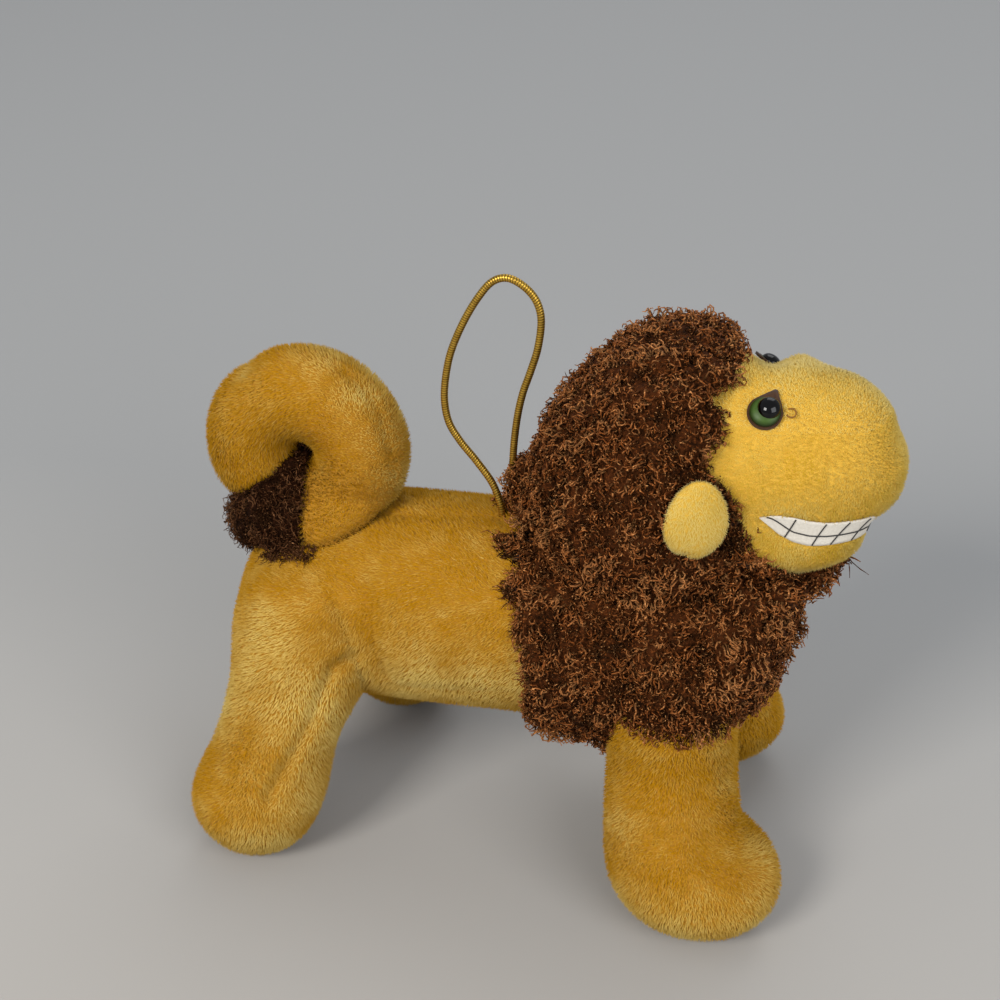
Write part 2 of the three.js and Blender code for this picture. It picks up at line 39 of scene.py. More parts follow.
# Forms are worked out in millimetres and become metres when their mesh is written
mm = 0.001
rightSide, leftSide = -1, 1  # the toy looks along +X, so its right side is at -Y

# Camera at the photograph's place
view = {
    "lens": 57.6,
    "sensor": 36,
    "place": (0.05484, -0.27003, 0.23332),
    "target": (-0.0075, 0, 0.07332),
    "nearest": 0.01,
}


def placeCamera():
    bpy.ops.object.camera_add(location=view["place"])
    camera = bpy.context.object
    look = Vector(view["target"]) - Vector(view["place"])
    camera.rotation_euler = look.to_track_quat("-Z", "Y").to_euler()
    camera.data.lens = view["lens"]
    camera.data.sensor_width = view["sensor"]
    camera.data.clip_start = view["nearest"]
    bpy.context.scene.camera = camera


placeCamera()


# Shader maths: a wire is one socket of a material, and maths on it adds nodes
class Wire:
    def __init__(self, finish, socket):
        self.finish, self.socket = finish, socket

    def maths(self, operation, first, second):
        return self.finish.node("ShaderNodeMath", {"operation": operation}, {0: first, 1: second})

    def __add__(self, other): return self.maths("ADD", self, other)
    def __radd__(self, other): return self.maths("ADD", other, self)
    def __sub__(self, other): return self.maths("SUBTRACT", self, other)
    def __rsub__(self, other): return self.maths("SUBTRACT", other, self)
    def __mul__(self, other): return self.maths("MULTIPLY", self, other)
    def __rmul__(self, other): return self.maths("MULTIPLY", other, self)
    def __pow__(self, other): return self.maths("POWER", self, other)


class Finish:
    def __init__(self, name, constants):
        self.material = bpy.data.materials.new(name)
        self.material.use_nodes = True
        self.tree = self.material.node_tree
        self.shader = self.tree.nodes["Principled BSDF"]
        for socket, value in constants.items():
            self.shader.inputs[socket].default_value = value

    # settings are set first, a ramp's stops among them, then the sockets get values or wires
    def node(self, kind, settings=None, sockets=None, output=0):
        made = self.tree.nodes.new(kind)
        for name, value in (settings or {}).items():
            if name == "stops":
                for k, (place, colour) in enumerate(value):
                    stops = made.color_ramp.elements
                    stop = stops[k] if k < len(stops) else stops.new(place)
                    stop.position, stop.color = place, colour
            else:
                setattr(made, name, value)
        for name, value in (sockets or {}).items():
            self.feed(made.inputs[name], value)
        return Wire(self, made.outputs[output])

    def feed(self, socket, value):
        if isinstance(value, Wire):
            self.tree.links.new(value.socket, socket)
        else:
            socket.default_value = value

    def attribute(self, name):
        return self.node("ShaderNodeAttribute", {"attribute_name": name}, output="Fac")

    def place(self):
        return self.node("ShaderNodeTexCoord", output="Object")

    def noise(self, scale, detail=2.0, vector=None):
        where = vector or self.place()
        return self.node("ShaderNodeTexNoise", None, {"Vector": where, "Scale": scale, "Detail": detail})

    def mix(self, factor, first, second, blend="MIX"):
        settings = {"data_type": "RGBA", "blend_type": blend, "clamp_factor": True}
        return self.node("ShaderNodeMix", settings, {0: factor, 6: first, 7: second}, output=2)

    def bump(self, height, strength, distance):
        sockets = {"Height": height, "Strength": strength, "Distance": distance}
        return self.node("ShaderNodeBump", None, sockets)

    def colour(self, wire):
        self.feed(self.shader.inputs["Base Color"], wire)

    def normal(self, wire):
        self.feed(self.shader.inputs["Normal"], wire)


def shade(code):
    parts = [int(code[k:k + 2], 16) / 255 for k in (1, 3, 5)]
    return tuple(c / 12.92 if c <= 0.04045 else ((c + 0.055) / 1.055) ** 2.4 for c in parts) + (1.0,)


# Writes a mesh from arrays in millimetres; corners holds (how many, indices) for each kind of face
def writeMesh(name, points, corners, attributes=None, corner2d=None, normals=None):
    mesh = bpy.data.meshes.new(name)
    mesh.vertices.add(len(points))
    mesh.vertices.foreach_set("co", (np.asarray(points, float) * mm).ravel())
    loops = np.concatenate([faces.ravel() for faces in corners])
    mesh.loops.add(len(loops))
    mesh.loops.foreach_set("vertex_index", loops.astype(np.int32))
    starts, used = [], 0
    for faces in corners:
        starts.append(used + np.arange(len(faces)) * faces.shape[1])
        used += faces.size
    starts = np.concatenate(starts).astype(np.int32)
    mesh.polygons.add(len(starts))
    mesh.polygons.foreach_set("loop_start", starts)
    mesh.update(calc_edges=True)
    mesh.validate()
    mesh.polygons.foreach_set("use_smooth", np.ones(len(starts), bool))
    for label, values in (attributes or {}).items():
        layer = mesh.attributes.new(label, "FLOAT", "POINT")
        layer.data.foreach_set("value", np.asarray(values, np.float32))
    if corner2d is not None:
        layer = mesh.uv_layers.new(name="OFBake")
        layer.data.foreach_set("uv", corner2d.astype(np.float32).ravel())
    if normals is not None:
        mesh.normals_split_custom_set_from_vertices(normals)
    piece = bpy.data.objects.new(name, mesh)
    bpy.context.collection.objects.link(piece)
    return piece


def dress(piece, finish, body="toy", parent=None, replaced=()):
    piece.data.materials.clear()
    piece.data.materials.append(finish.material)
    if parent is None:
        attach(piece, body)
    else:
        piece.parent = parent
    if replaced:
        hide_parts(*replaced)
    return piece


# A smooth curve through rows of numbers, at shares from 0 to 1 of the way along them
def smoothRows(rows, share):
    rows = np.asarray(rows, float)
    place = np.clip(share, 0, 1) * (len(rows) - 1)
    k = np.minimum(place.astype(int), len(rows) - 2)
    t = (place - k)[:, None]
    wide = np.vstack([2 * rows[0] - rows[1], rows, 2 * rows[-1] - rows[-2]])
    a, b, c, d = wide[k], wide[k + 1], wide[k + 2], wide[k + 3]
    square, cube = 2 * a - 5 * b + 4 * c - d, 3 * b - a - 3 * c + d
    return 0.5 * (2 * b + (c - a) * t + square * t ** 2 + cube * t ** 3)


def evenPath(points, spacing):
    dense = smoothRows(points, np.linspace(0, 1, 60 * len(points)))
    run = np.concatenate([[0], np.cumsum(np.linalg.norm(np.diff(dense, axis=0), axis=1))])
    count = max(2, int(round(run[-1] / spacing)))
    stops = np.linspace(0, run[-1], count + 1)
    return np.stack([np.interp(stops, run, dense[:, k]) for k in range(3)], axis=1), run[-1]


def unit(vectors):
    return vectors / np.maximum(np.linalg.norm(vectors, axis=-1, keepdims=True), 1e-9)


# Axes across a path that turn with it as little as they can
def carriedAxes(path):
    ahead = unit(np.gradient(path, axis=0))
    across = np.zeros_like(path)
    start = np.cross(ahead[0], (0.0, 0.0, 1.0) if abs(ahead[0][2]) < 0.9 else (0.0, 1.0, 0.0))
    across[0] = unit(start)
    for k in range(1, len(path)):
        kept = across[k - 1] - ahead[k] * np.dot(across[k - 1], ahead[k])
        across[k] = unit(kept)
    return across, np.cross(ahead, across)


# A closed tube along a path; radius may be a number or rows of rings by sides
def tubeMesh(name, path, radius, sides, attributes=None):
    across, up = carriedAxes(path)
    turn = 2 * np.pi * np.arange(sides) / sides
    reach = np.broadcast_to(np.asarray(radius, float), (len(path), sides))
    rings = path[:, None] + reach[..., None] * (
        np.cos(turn)[None, :, None] * across[:, None] + np.sin(turn)[None, :, None] * up[:, None])
    points = np.concatenate([rings.reshape(-1, 3), path[:1], path[-1:]])
    ring, side = np.meshgrid(np.arange(len(path) - 1), np.arange(sides), indexing="ij")
    low, near = ring * sides + side, ring * sides + (side + 1) % sides
    walls = np.stack([low, near, near + sides, low + sides], axis=-1).reshape(-1, 4)
    s, n, last = np.arange(sides), (np.arange(sides) + 1) % sides, (len(path) - 1) * sides
    first, end = np.full(sides, len(points) - 2), np.full(sides, len(points) - 1)
    ends = np.concatenate([np.stack([first, n, s], 1), np.stack([end, last + s, last + n], 1)])
    whole = {}
    for label, values in (attributes or {}).items():
        values = np.broadcast_to(values, (len(path), sides)).reshape(-1)
        whole[label] = np.concatenate([values, values[:1], values[-1:]])
    return writeMesh(name, points, [walls, ends], whole)


# Hanging loop: elastic cord wound with flat gold foil, which stands up by itself
loop = {
    "radius": 0.75,
    "sides": 14,
    "wrapPitch": 0.5,
    "wrapDepth": 0.05,
    "ringsPerWrap": 5,
    "pathStep": 0.0005,
}
loopRoute = np.array([
    [-0.0068, -0.0010, 0.0659], [-0.0068, -0.0010, 0.0695], [-0.0072, -0.0009, 0.0730],
    [-0.0090, -0.0005, 0.0774], [-0.0124, 0, 0.0818], [-0.0156, 0, 0.0858], [-0.0179, 0, 0.0900],
    [-0.0186, 0, 0.0956], [-0.0177, 0, 0.1026], [-0.0160, 0, 0.1080], [-0.0133, 0, 0.1138],
    [-0.0104, 0, 0.1184], [-0.0084, 0, 0.1203], [-0.0062, 0, 0.1209], [-0.0040, 0, 0.1202],
    [-0.0017, 0, 0.1184], [-0.0002, 0, 0.1160], [0.0004, 0, 0.1126], [-0.0002, 0, 0.1072],
    [-0.0016, 0, 0.1021], [-0.0030, 0, 0.0976], [-0.0040, 0, 0.0926], [-0.0047, 0.0001, 0.0864],
    [-0.0050, 0.0004, 0.0810], [-0.0050, 0.0008, 0.0764], [-0.0049, 0.0010, 0.0724],
    [-0.0048, 0.0010, 0.0690], [-0.0048, 0.0010, 0.0659],
])


def goldFinish():
    finish = Finish("goldCord", {"Metallic": 0.85, "Roughness": 0.34})
    groove = finish.attribute("groove")
    grime = finish.noise(900.0, 2.0)
    gold = finish.mix(grime, shade("#dcb24a"), shade("#94701f"))
    finish.colour(finish.mix(groove, gold, shade("#4a3510")))
    return finish


goldCord = goldFinish()


def makeLoop():
    path, _ = evenPath(loopRoute / mm, loop["wrapPitch"] / loop["ringsPerWrap"])
    wraps = np.arange(len(path)) / loop["ringsPerWrap"]
    turn = np.arange(loop["sides"]) / loop["sides"]
    phase = np.pi * (wraps[:, None] - turn[None, :])
    groove = np.abs(np.cos(phase)) ** 6
    radius = loop["radius"] - loop["wrapDepth"] * groove
    piece = tubeMesh("gold_loop", path, radius, loop["sides"], {"groove": groove})
    dress(piece, goldCord, replaced=("hang_loop",))
    coarse, length = evenPath(loopRoute / mm, loop["pathStep"] / mm)
    print("cord made, length in mm:", round(length, 1))


makeLoop()


# A stuffed form: ovals along one axis, blunt at both ends. rows give the middle and the half sizes
class Form:
    def __init__(self, axis, start, end, blunt, rows):
        self.order = {"x": [0, 1, 2], "y": [1, 2, 0], "z": [2, 0, 1]}[axis]  # along, then the two across
        self.start, self.end, self.blunt = start, end, blunt
        self.rows = np.asarray(rows, float)

    def placeOn(self, sphere, grow=0.0):
        share = (1 + sphere[:, 2]) / 2
        row = smoothRows(self.rows, share)
        swell = np.clip(1 - np.abs(sphere[:, 2]) ** self.blunt, 0, 1) ** (1 / self.blunt)
        flat = unit(sphere[:, :2])
        points = np.zeros_like(sphere)
        points[:, self.order[0]] = self.start - grow + (self.end - self.start + 2 * grow) * share
        points[:, self.order[1:]] = row[:, :2] + (row[:, 2:] + grow) * swell[:, None] * flat
        return points

    def level(self, points, grow=0.0):
        share = (points[:, self.order[0]] - self.start + grow) / (self.end - self.start + 2 * grow)
        row = smoothRows(self.rows, share)
        across = (points[:, self.order[1:]] - row[:, :2]) / (row[:, 2:] + grow)
        ends, round_ = np.abs(2 * share - 1), np.linalg.norm(across, axis=1)
        return (ends ** self.blunt + round_ ** self.blunt) ** (1 / self.blunt) - 1

    # Millimetres outside the form, roughly; negative inside
    def gap(self, points, grow=0.0):
        step = 0.05
        here = self.level(points, grow)
        slope = np.stack([self.level(points + step * axis, grow) - here for axis in np.eye(3)], axis=1) / step
        return here / np.maximum(np.linalg.norm(slope, axis=1), 1e-6)


# A stuffed tube bent round a curl in the XZ plane
class Curl:
    def __init__(self, centre, bend, half, start, end, blunt, plump=0.0):
        self.centre, self.bend, self.half = np.asarray(centre, float), bend, half
        self.start, self.end, self.blunt, self.plump = np.radians(start), np.radians(end), blunt, plump

    def thickness(self, share):
        return self.half * (1 + self.plump * np.sin(np.pi * np.clip(share, 0, 1)))

    def placeOn(self, sphere, grow=0.0):
        share = (1 + sphere[:, 2]) / 2
        swell = np.clip(1 - np.abs(sphere[:, 2]) ** self.blunt, 0, 1) ** (1 / self.blunt)
        angle = self.start + (self.end - self.start) * share
        flat = unit(sphere[:, :2]) * ((self.thickness(share) + grow) * swell)[:, None]
        reach = self.bend + flat[:, 0]
        return np.stack([self.centre[0] + reach * np.cos(angle), flat[:, 1],
                         self.centre[1] + reach * np.sin(angle)], axis=1)

    def shareOf(self, points):
        angle = np.arctan2(points[:, 2] - self.centre[1], points[:, 0] - self.centre[0])
        middle = (self.start + self.end) / 2
        angle = middle + (angle - middle + np.pi) % (2 * np.pi) - np.pi
        return (angle - self.start) / (self.end - self.start)

    def gap(self, points, grow=0.0):
        out = np.hypot(points[:, 0] - self.centre[0], points[:, 2] - self.centre[1])
        share = self.shareOf(points)
        beside = np.hypot(out - self.bend, points[:, 1]) - self.thickness(share) - grow
        beyond = (np.abs(share - 0.5) - 0.5) * abs(self.end - self.start) * self.bend - grow
        return np.maximum(beside, beyond)


# Forms that flow into one another. Each dent is a place, how far it spreads, and how deep it goes in
class Blend:
    def __init__(self, forms, reach, dents=()):
        self.forms, self.reach, self.dents = forms, reach, dents

    def dentAt(self, points):
        total = np.zeros(len(points))
        for place, spread, depth in self.dents:
            away = points - np.array(place, float)
            total += depth * np.exp(-np.sum((away / spread) ** 2, axis=1))
        return total

    def gap(self, points, grow=0.0):
        first, second = (form.gap(points, grow) for form in self.forms)
        near = np.clip(self.reach - np.abs(first - second), 0, None)
        return np.minimum(first, second) - near ** 2 / (4 * self.reach) + self.dentAt(points)


def scaled(shares, centre, halves):
    return [[centre[0] + r[0] * halves[0], centre[1] + r[1] * halves[1], r[2] * halves[0], r[3] * halves[1]]
            for r in shares]


barrel = Form("x", -61.5, 46, 3.4, scaled([
    [0, -0.06, 0.92, 0.9], [0, -0.02, 1, 1], [0, 0, 1, 1],
    [0, 0.02, 0.97, 1], [0, 0.03, 0.98, 1.02], [0, 0.04, 0.98, 1],
], (0, 48.6), (22, 22.6)))
chest = Form("x", -11.4, 55.8, 3.0, scaled([
    [0, -0.05, 0.98, 0.98], [0, -0.05, 1, 1], [0, -0.02, 1, 1.04], [0, 0.08, 0.99, 1], [0, 0.26, 0.95, 0.8],
], (0, 50.2), (26.5, 26.4)))
skull = Form("x", 4, 69.9, 2.6, scaled([
    [0, 0, 0.9, 0.92], [0, 0.02, 1, 1], [0, 0, 1, 1], [0, 0.03, 0.98, 0.96], [0, 0.1, 0.9, 0.86],
], (0, 90.3), (18.5, 19.8)))
jaw = Form("x", 28, 65, 2.4, scaled([
    [0, 0, 0.9, 0.95], [0, 0, 1, 1], [0, 0.02, 0.98, 0.98], [0, 0.1, 0.9, 0.86],
], (0, 77.3), (16.2, 8.6)))
hood = Form("z", 58.3, 114.7, 2.9, scaled([
    [0.16, 0, 1.2, 0.96], [0.06, 0, 1.06, 1], [0, 0, 0.96, 1], [0.1, 0, 0.84, 0.97], [0.28, 0, 0.68, 0.85],
], (22, 0), (24, 26.5)))
tailCurl = Curl((-47.4, 81.2), 11.6, 9.6, -84, 217, 14, 0.05)
tuftCurl = Curl((-47.4, 81.2), 11.6, 12.1, 218.5, 271, 9)


def legForm(foot, hip, side, halves, top, blunt, shares):
    rows = [[foot[0] + (hip[0] - foot[0]) * r[0], side * (foot[1] + (hip[1] - foot[1]) * r[0]),
             halves[0] * r[1], halves[1] * r[2]] for r in shares]
    return Form("z", -0.5, top, blunt, rows)


frontShares = [[0.03, 1.2, 1.02], [0.08, 1.32, 1.05], [0.38, 1.21, 1.03], [0.88, 1.02, 1],
               [0.95, 0.99, 0.98], [1, 1, 0.98], [1, 1, 0.98]]
hindShares = [[0, 1, 1], [0.05, 1.05, 1.05], [0.4, 0.9, 1], [0.8, 0.98, 0.98],
              [1, 1.08, 0.98], [1, 1.02, 0.95]]
legs = {
    "right_front_leg": legForm((38.2, 29), (31.2, 16), rightSide, (13.2, 13.4), 58, 3.2, frontShares),
    "left_front_leg": legForm((38.2, 29), (31.2, 16), leftSide, (13.2, 13.4), 58, 3.2, frontShares),
    "right_hind_leg": legForm((-53.6, 28.2), (-45, 14), rightSide, (14.8, 13.4), 60, 3.0, hindShares),
    "left_hind_leg": legForm((-38, 28.2), (-43, 14), leftSide, (14.8, 13.4), 60, 3.0, hindShares),
}

maneSeam = {"x": -0.4, "middle": 48.6, "lean": 6 / 45.2}


# Millimetres ahead of the leaning plane that the mane's seam follows
def aheadOfSeam(points):
    return points[:, 0] - maneSeam["x"] + maneSeam["lean"] * (points[:, 2] - maneSeam["middle"])


# Soft noise from a few sine waves, from about -1 to 1, with features of a given size in mm
def swirl(points, size, seed):
    rng = np.random.default_rng(seed)
    total = np.zeros(len(points))
    for _ in range(6):
        wave = unit(rng.normal(size=3)) * 2 * np.pi / (size * rng.uniform(0.7, 1.5))
        total += np.sin(points @ wave + rng.uniform(0, 2 * np.pi))
    return total / 3


def swirlVectors(points, size, seed):
    return np.stack([swirl(points, size, seed + k) for k in range(3)], axis=1)


def toLine(points, line):
    best = np.full(len(points), np.inf)
    line = np.asarray(line, float)
    for a, b in zip(line[:-1], line[1:]):
        run = b - a
        share = np.clip((points - a) @ run / (run @ run), 0, 1)
        best = np.minimum(best, np.linalg.norm(points - a - share[:, None] * run, axis=1))
    return best


# Seams and creases that the stuffed cloth pulls in, each on one side or on both
creases = [
    {"depth": 1.9, "width": 1.3, "sides": (1, -1),
     "line": [(-31, 16.6, 62.6), (-30, 19.3, 58.5), (-29.4, 21.4, 51.2), (-28.2, 21.5, 45.8),
              (-26.6, 20, 39.8)]},
    {"depth": 0.8, "width": 1.0, "sides": (1, -1),
     "line": [(-27.2, 18.9, 37.4), (-19.6, 19.5, 38.1), (-11.2, 19.6, 39.1), (2, 20.5, 40)]},
    {"depth": 1.8, "width": 1.2, "sides": (-1,),
     "line": [(-32.6, 22, 45.5), (-36.1, 24.4, 44.1), (-38, 26.6, 39.2), (-39.7, 28.8, 33.8),
              (-43.3, 32.9, 26.7), (-47.4, 37.2, 19.5)]},
    {"depth": 0.7, "width": 0.9, "sides": (-1,),
     "line": [(-60, 3, 66), (-25.8, 4.6, 70), (-19, 3.8, 70.7), (-11.2, 2.6, 71.2), (3, 2, 70.8)]},
    {"depth": 0.8, "width": 0.9, "sides": (1, -1),
     "line": [(-37.8, -2.5, 99.9), (-33.7, -3.2, 96.8), (-30.5, -4.2, 92.9), (-28.4, -5.2, 87.1),
              (-27.7, -5.3, 81.7), (-27.3, -4.5, 77.8)]},
    {"depth": 1.1, "width": 1.5, "sides": (1,),
     "line": [(-62, -3, 96.5), (-59.1, -2.5, 98.5), (-55.1, -1.6, 101.2)]},
]


def creaseAt(points, widen=1.0):
    pull, near = np.zeros(len(points)), np.zeros(len(points))
    for crease in creases:
        for side in crease["sides"]:
            away = toLine(points, np.asarray(crease["line"], float) * (1, side, 1))
            shape = np.exp(-(away / (crease["width"] * widen)) ** 2)
            pull, near = np.maximum(pull, crease["depth"] * shape), np.maximum(near, shape)
    return pull, near


# Runs one mesh operator on all of a piece
def editAll(piece, operator, **settings):
    bpy.ops.object.select_all(action="DESELECT")
    piece.select_set(True)
    bpy.context.view_layer.objects.active = piece
    bpy.ops.object.mode_set(mode="EDIT")
    bpy.ops.mesh.select_all(action="SELECT")
    operator(**settings)
    bpy.ops.object.mode_set(mode="OBJECT")


def turnOutwards(piece):
    editAll(piece, bpy.ops.mesh.normals_make_consistent, inside=False)


# A sphere drawn on to another shape by a function of its points
def makeBall(name, segments, rings, shape):
    bpy.ops.mesh.primitive_uv_sphere_add(segments=segments, ring_count=rings, radius=1, location=(0, 0, 0))
    piece = bpy.context.object
    piece.name = piece.data.name = name
    sphere = np.zeros(3 * len(piece.data.vertices))
    piece.data.vertices.foreach_get("co", sphere)
    sphere = sphere.reshape(-1, 3)
    piece.data.vertices.foreach_set("co", (shape(sphere) * mm).ravel())
    turnOutwards(piece)
    bpy.ops.object.shade_smooth()
    return piece, sphere


# Skins: the cloth backing of each stuffed part
def makeSkin(name, form, segments, rings, grow):
    return makeBall(name, segments, rings, lambda sphere: form.placeOn(sphere, grow))[0]


# Gives a sheet its thickness, inwards
def thicken(piece, thick):
    bpy.context.view_layer.objects.active = piece
    solid = piece.modifiers.new("wall", "SOLIDIFY")
    solid.thickness, solid.offset = thick * mm, -1
    bpy.ops.object.modifier_apply(modifier=solid.name)


# The sphere operator lists its faces in another order each time. So triangles are put in the order of
# their corners' places, and each run reads the same skin
def inOrder(points, corners):
    rank = np.zeros(len(points), int)
    rank[np.lexsort(points.T)] = np.arange(len(points))
    lowest = np.argmin(rank[corners], axis=1)[:, None]
    corners = np.take_along_axis(corners, (lowest + np.arange(3)) % 3, axis=1)
    return corners[np.lexsort(rank[corners].T[::-1])]


# Normals at the points, each face weighted by its angle there
def normalsOf(points, corners):
    normals = np.zeros_like(points)
    for k in range(3):
        here, after, before = (points[corners[:, (k + j) % 3]] for j in range(3))
        ahead, back = unit(after - here), unit(before - here)
        angle = np.arccos(np.clip(np.sum(ahead * back, axis=1), -1, 1))
        np.add.at(normals, corners[:, k], unit(np.cross(ahead, back)) * angle[:, None])
    return unit(normals)


def readSkin(piece):
    mesh = piece.data
    points = np.zeros(3 * len(mesh.vertices))
    mesh.vertices.foreach_get("co", points)
    mesh.calc_loop_triangles()
    corners = np.zeros(3 * len(mesh.loop_triangles), np.int32)
    mesh.loop_triangles.foreach_get("vertices", corners)
    points = points.reshape(-1, 3) / mm
    corners = inOrder(points, corners.reshape(-1, 3))
    return points, normalsOf(points, corners), corners


def placeSkin(piece, points):
    piece.data.vertices.foreach_set("co", (points * mm).ravel())
    piece.data.update()


# Moves a skin's points along their normals, in millimetres
def pushSkin(piece, amount):
    points, normals, _ = readSkin(piece)
    placeSkin(piece, points + normals * amount[:, None])


# Makes a change of points into a change of a skin
def onSkin(change):
    def changeSkin(piece):
        points = readSkin(piece)[0]
        change(points)
        placeSkin(piece, points)
    return changeSkin


def markSkin(piece, label, values):
    layer = piece.data.attributes.new(label, "FLOAT", "POINT")
    layer.data.foreach_set("value", np.asarray(values, np.float32))


# Swells a skin where it meets another form, so that one flows into the other
def flowInto(piece, other, grow, reach, where):
    points = readSkin(piece)[0]
    near = np.clip(reach - np.abs(other.gap(points, grow)), 0, None) ** 2 / (4 * reach)
    pushSkin(piece, near * where(points))


# Even random places on a skin, with the skin's normals there, of which some are kept
def scatter(piece, density, rng, keep=lambda at, out: slice(None)):
    points, normals, corners = readSkin(piece)
    a, b, c = (points[corners[:, k]] for k in range(3))
    areas = np.linalg.norm(np.cross(b - a, c - a), axis=1) / 2
    count = int(areas.sum() * density)
    edges = np.cumsum(areas)
    pick = np.searchsorted(edges, (np.arange(count) + rng.random(count)) * edges[-1] / count)
    pick = np.minimum(pick, len(areas) - 1)
    u, v = rng.random(count), rng.random(count)
    flip = u + v > 1
    u, v = np.where(flip, 1 - u, u)[:, None], np.where(flip, 1 - v, v)[:, None]
    w = 1 - u - v
    at = w * a[pick] + u * b[pick] + v * c[pick]
    out = unit(w * normals[corners[pick, 0]] + u * normals[corners[pick, 1]] + v * normals[corners[pick, 2]])
    kept = keep(at, out)
    return at[kept], out[kept]


strandsInPiece, fibresInPiece = 46000, 5600  # at most, so that each piece is kept whole


# Each strand's own cell of the unit square, as its low corner and its size
def strandCells(count):
    wide = int(np.ceil(np.sqrt(count)))
    index = np.arange(count)
    return np.stack([index % wide, index // wide], axis=1) / wide, 1 / wide


# Pile: closed three-sided spikes that stand in a skin and lean with the nap of the cloth
def makePile(name, at, out, lay, look, rng, pale, near):
    count = len(at)
    lay = lay + look["stray"] * rng.normal(size=(count, 3))
    lay = unit(lay - out * np.sum(lay * out, axis=1)[:, None])
    lean = np.radians(np.clip(look["lean"] + look["leanSpread"] * rng.normal(size=count), 0, 80))
    long = look["length"] * np.exp(look["lengthSpread"] * rng.normal(size=count))
    long *= 1 - look["shortInCrease"] * near
    tip = at + out * (long * np.cos(lean))[:, None] + lay * (long * np.sin(lean))[:, None]
    tip[:, 2] = np.maximum(tip[:, 2], look["floor"])
    across = unit(np.cross(out, lay))
    spin = rng.uniform(0, 2 * np.pi, count)
    corners = []
    for k in range(3):
        turn = spin + 2 * np.pi * k / 3
        ring = across * np.cos(turn)[:, None] + np.cross(out, across) * np.sin(turn)[:, None]
        corners.append(at + ring * look["width"] / 2)
    points = np.stack([*corners, tip], axis=1).reshape(-1, 3)
    base = 4 * np.arange(count)[:, None]
    faces = (base[:, None] + np.array([[0, 1, 3], [1, 2, 3], [2, 0, 3], [2, 1, 0]])[None]).reshape(-1, 3)
    cell, size = strandCells(count)
    spots = np.array([[0.08, 0.08], [0.92, 0.08], [0.5, 0.92], [0.5, 0.36]]) * size
    flat = cell[:, None] + spots[None]
    corner2d = np.stack([flat[:, [0, 1, 3]], flat[:, [1, 2, 3]], flat[:, [2, 0, 3]],
                         np.repeat(flat[:, :1], 3, axis=1)], axis=1).reshape(-1, 2)
    tint = np.repeat(rng.normal(size=count), 4)
    along = np.tile([0.0, 0.0, 0.0, 1.0], count)
    soft = unit(out + look["roundness"] * unit(tip - at))
    side = unit(points - np.repeat(at, 4, axis=0))
    normals = unit(np.repeat(soft, 4, axis=0) + look["edge"] * side)
    # crease marks how far a strand is darkened as painted shade in a crease or along a seam
    marks = {"tint": tint, "along": along, "pale": np.repeat(pale, 4), "crease": np.repeat(near, 4)}
    return writeMesh(name, points, [faces], marks, corner2d, normals)


# Shares places out over pieces that each stay light enough to keep whole
def inPieces(name, at, most):
    groups = np.array_split(np.argsort(at[:, 1]), int(np.ceil(len(at) / most)))
    labels = [name] if len(groups) == 1 else ["%s_%d" % (name, k + 1) for k in range(len(groups))]
    return zip(labels, groups)


def plantPile(name, skin, at, out, lay, look, rng, pale, near, finish):
    for label, group in inPieces(name, at, strandsInPiece):
        pile = makePile(label, at[group], out[group], lay[group], look, rng, pale[group], near[group])
        dress(pile, finish, parent=skin)
    print(name, "strands", len(at))


def pileFinish(name, look):
    finish = Finish(name, {"Roughness": look["roughness"], "Sheen Weight": look["sheen"],
                           "Sheen Roughness": 0.45, "Specular IOR Level": look["gloss"]})
    finish.shader.inputs["Sheen Tint"].default_value = shade(look["sheenTint"])
    along, tint, pale, crease = (finish.attribute(label) for label in ("along", "tint", "pale", "crease"))
    mottle = finish.noise(look["mottleScale"], 3.0)
    body = finish.mix(along, shade(look["root"]), shade(look["tip"]))
    light = finish.mix(along, shade(look["paleRoot"]), shade(look["paleTip"]))
    # pale mixes in the pale nap colours, partly the nap's own tone and partly painted sheen and light
    colour = finish.mix(pale + (mottle - 0.5) * look["mottle"], body, light)
    darker = finish.mix((tint * -0.5) * look["tint"], colour, shade(look["root"]))
    lighter = finish.mix((tint * 0.5) * look["tint"], darker, shade(look["paleTip"]))
    # Strands in creases and along seams are darkened toward the crease colour: painted shade
    finish.colour(finish.mix(crease * 0.9, lighter, shade(look["crease"])))
    return finish


def skinFinish(name, colourA, colourB, scale, darkUnderMane="#2a1208"):
    finish = Finish(name, {"Roughness": 0.9, "Sheen Weight": 0.15, "Sheen Roughness": 0.5,
                           "Sheen Tint": shade("#c08840")})
    mottle = finish.noise(scale, 4.0)
    cloth = finish.mix(mottle, shade(colourA), shade(colourB))
    # The cloth is darker where the mane covers it
    finish.colour(finish.mix(finish.attribute("darkUnderMane"), cloth, shade(darkUnderMane)))
    finish.normal(finish.bump(finish.noise(scale * 6, 2.0), 0.6, 0.0004))
    return finish


plushLook = {
    "backing": 1.0,  # the skin lies this far below the outside of the pile
    "density": 6.82,
    "length": 1.15, "lengthSpread": 0.1, "width": 0.27,
    "lean": 36, "leanSpread": 8, "stray": 0.3, "floor": 0.12, "shortInCrease": 0.45,
    "roundness": 0.14, "edge": 0.1,
    # crease is the colour of the painted shade in creases and along seams
    "root": "#9c6c06", "tip": "#c08808", "paleRoot": "#be983c", "paleTip": "#e8ce7c", "crease": "#4e3206",
    "sheenTint": "#e8c050", "sheen": 0.08, "roughness": 0.85, "gloss": 0.1,
    "mottleScale": 140.0, "mottle": 0.35, "tint": 0.18,
}
plushPile = pileFinish("plushPile", plushLook)
plushBacking = skinFinish("plushBacking", "#946608", "#b27e0b", 500.0)
